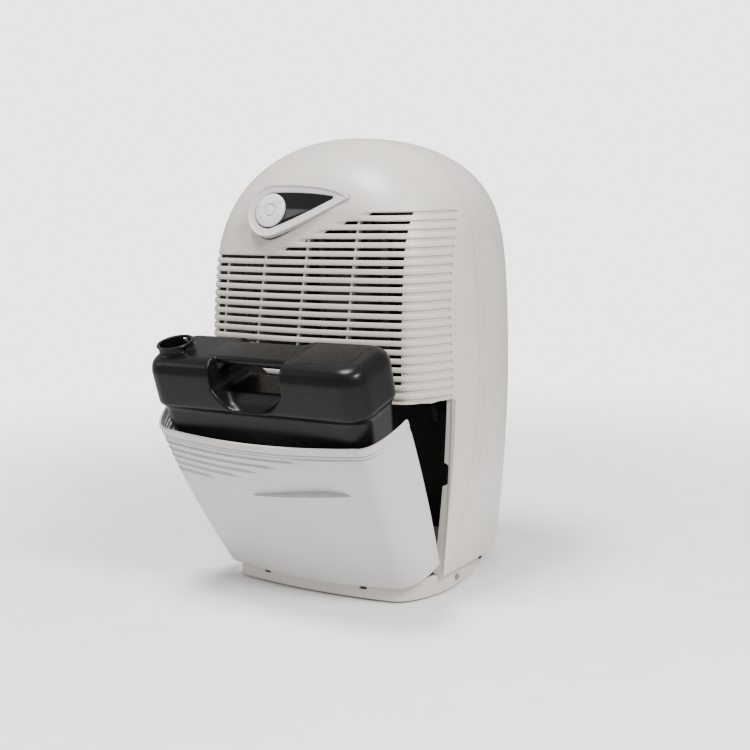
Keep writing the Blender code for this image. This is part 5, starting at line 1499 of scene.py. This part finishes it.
# ---------------------------------------------------------------- the studio
@dataclass
class Studio:
    """Pale floor, soft lights and the camera."""

    lens: float = 60.0
    sensor: float = 36.0
    eye: tuple[float, float, float] = (0.8418, -1.3334, 0.4843)
    right: tuple[float, float, float] = (0.85024, 0.52602, -0.01978)
    up: tuple[float, float, float] = (-0.06149, 0.13656, 0.98872)
    back: tuple[float, float, float] = (0.52278, -0.83944, 0.14845)
    floor_half: float = 60.0
    glow: float = 0.62          # light from all round
    backdrop: float = 3.2       # how bright the surroundings look behind the machine
    sweep_start: float = 0.25   # from here outwards the floor turns into the white sweep
    sweep_end: float = 1.60
    aim_z: float = 0.27         # the lamps face the machine at this height
    # Each lamp: its name, place, power and size.
    lamps: tuple[tuple[str, tuple[float, float, float], float, float], ...] = (
        ("key", (1.7, -0.7, 1.6), 62.0, 0.6),
        ("fill", (-1.8, -1.4, 1.1), 9.0, 1.0),
        ("top", (-0.2, -0.5, 2.3), 62.0, 0.6))

    def build(self) -> None:
        """Set the camera, the floor, the surroundings and the lamps."""
        data = bpy.data.cameras.new("camera")
        data.lens = self.lens
        data.sensor_width = self.sensor
        camera = bpy.data.objects.new("camera", data)
        bpy.context.scene.collection.objects.link(camera)
        turn = Matrix((self.right, self.up, self.back)).transposed().to_4x4()
        camera.matrix_world = Matrix.Translation(self.eye) @ turn
        bpy.context.scene.camera = camera
        floor_mesh = bpy.data.meshes.new("floor")
        corners = [(x * self.floor_half, y * self.floor_half, -0.0005)
                   for x, y in ((-1, -1), (1, -1), (1, 1), (-1, 1))]
        floor_mesh.from_pydata(corners, [], [(0, 1, 2, 3)])
        floor_mesh.materials.append(self.sweep())
        floor = bpy.data.objects.new("floor", floor_mesh)
        bpy.context.scene.collection.objects.link(floor)
        floor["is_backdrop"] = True
        world = bpy.data.worlds.new("studio")
        bpy.context.scene.world = world
        world.use_nodes = True
        tree = world.node_tree
        tree.nodes.clear()
        light = add_node(tree, "ShaderNodeBackground", {"Color": (1.0, 1.0, 1.0, 1.0),
                                                        "Strength": self.surroundings(tree)})
        add_node(tree, "ShaderNodeOutputWorld", {"Surface": light.outputs["Background"]})
        for lamp in self.lamps:
            self.lamp(*lamp)

    def surroundings(self, tree: bpy.types.NodeTree) -> bpy.types.NodeSocket:
        """Strength of the white sweep: bright where it is looked at, softer as a light."""
        seen = add_node(tree, "ShaderNodeLightPath").outputs["Is Camera Ray"]
        return add_node(tree, "ShaderNodeMapRange", {"Value": seen, "To Min": self.glow,
                                                     "To Max": self.backdrop}).outputs["Result"]

    def sweep(self) -> bpy.types.Material:
        """The floor's material: plain pale floor near the machine, white sweep further out."""
        made = STUDIO_FLOOR.build()
        tree = made.node_tree
        out = next(node for node in tree.nodes if node.type == "OUTPUT_MATERIAL")
        near = out.inputs["Surface"].links[0].from_socket
        place = add_node(tree, "ShaderNodeTexCoord").outputs["Object"]
        away = add_node(tree, "ShaderNodeVectorMath", {0: place}, operation="LENGTH").outputs["Value"]
        fade = add_node(tree, "ShaderNodeMapRange", {"Value": away, "From Min": self.sweep_start,
                                                     "From Max": self.sweep_end},
                        interpolation_type="SMOOTHSTEP").outputs["Result"]
        far = add_node(tree, "ShaderNodeEmission", {"Strength": self.surroundings(tree)})
        both = add_node(tree, "ShaderNodeMixShader", {0: fade, 1: near, 2: far.outputs["Emission"]})
        tree.links.new(both.outputs["Shader"], out.inputs["Surface"])
        return made

    def lamp(self, name: str, where: tuple[float, float, float], power: float, size: float) -> None:
        """A soft square lamp that faces the machine's middle."""
        data = bpy.data.lights.new(name, "AREA")
        data.energy = power
        data.size = size
        lamp = bpy.data.objects.new(name, data)
        bpy.context.scene.collection.objects.link(lamp)
        lamp.location = where
        lamp.rotation_euler = (Vector((0, 0, self.aim_z)) - Vector(where)).to_track_quat("-Z", "Y").to_euler()
        lamp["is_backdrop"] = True


def main() -> None:
    """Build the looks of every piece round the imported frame."""
    logging.basicConfig(level=logging.INFO, format="%(message)s")
    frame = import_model()
    low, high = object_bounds()
    LIMITS["low"], LIMITS["high"] = np.array(low), np.array(high)
    Interior.dress(frame["nodes"])
    form = CaseForm()
    FrontCover(form).build()
    RearCover(form).build()
    ControlPanel().build()
    BucketDoor(form).build()
    WaterTank().build()
    Studio().build()
    low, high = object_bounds()


if __name__ == "__main__":
    main()
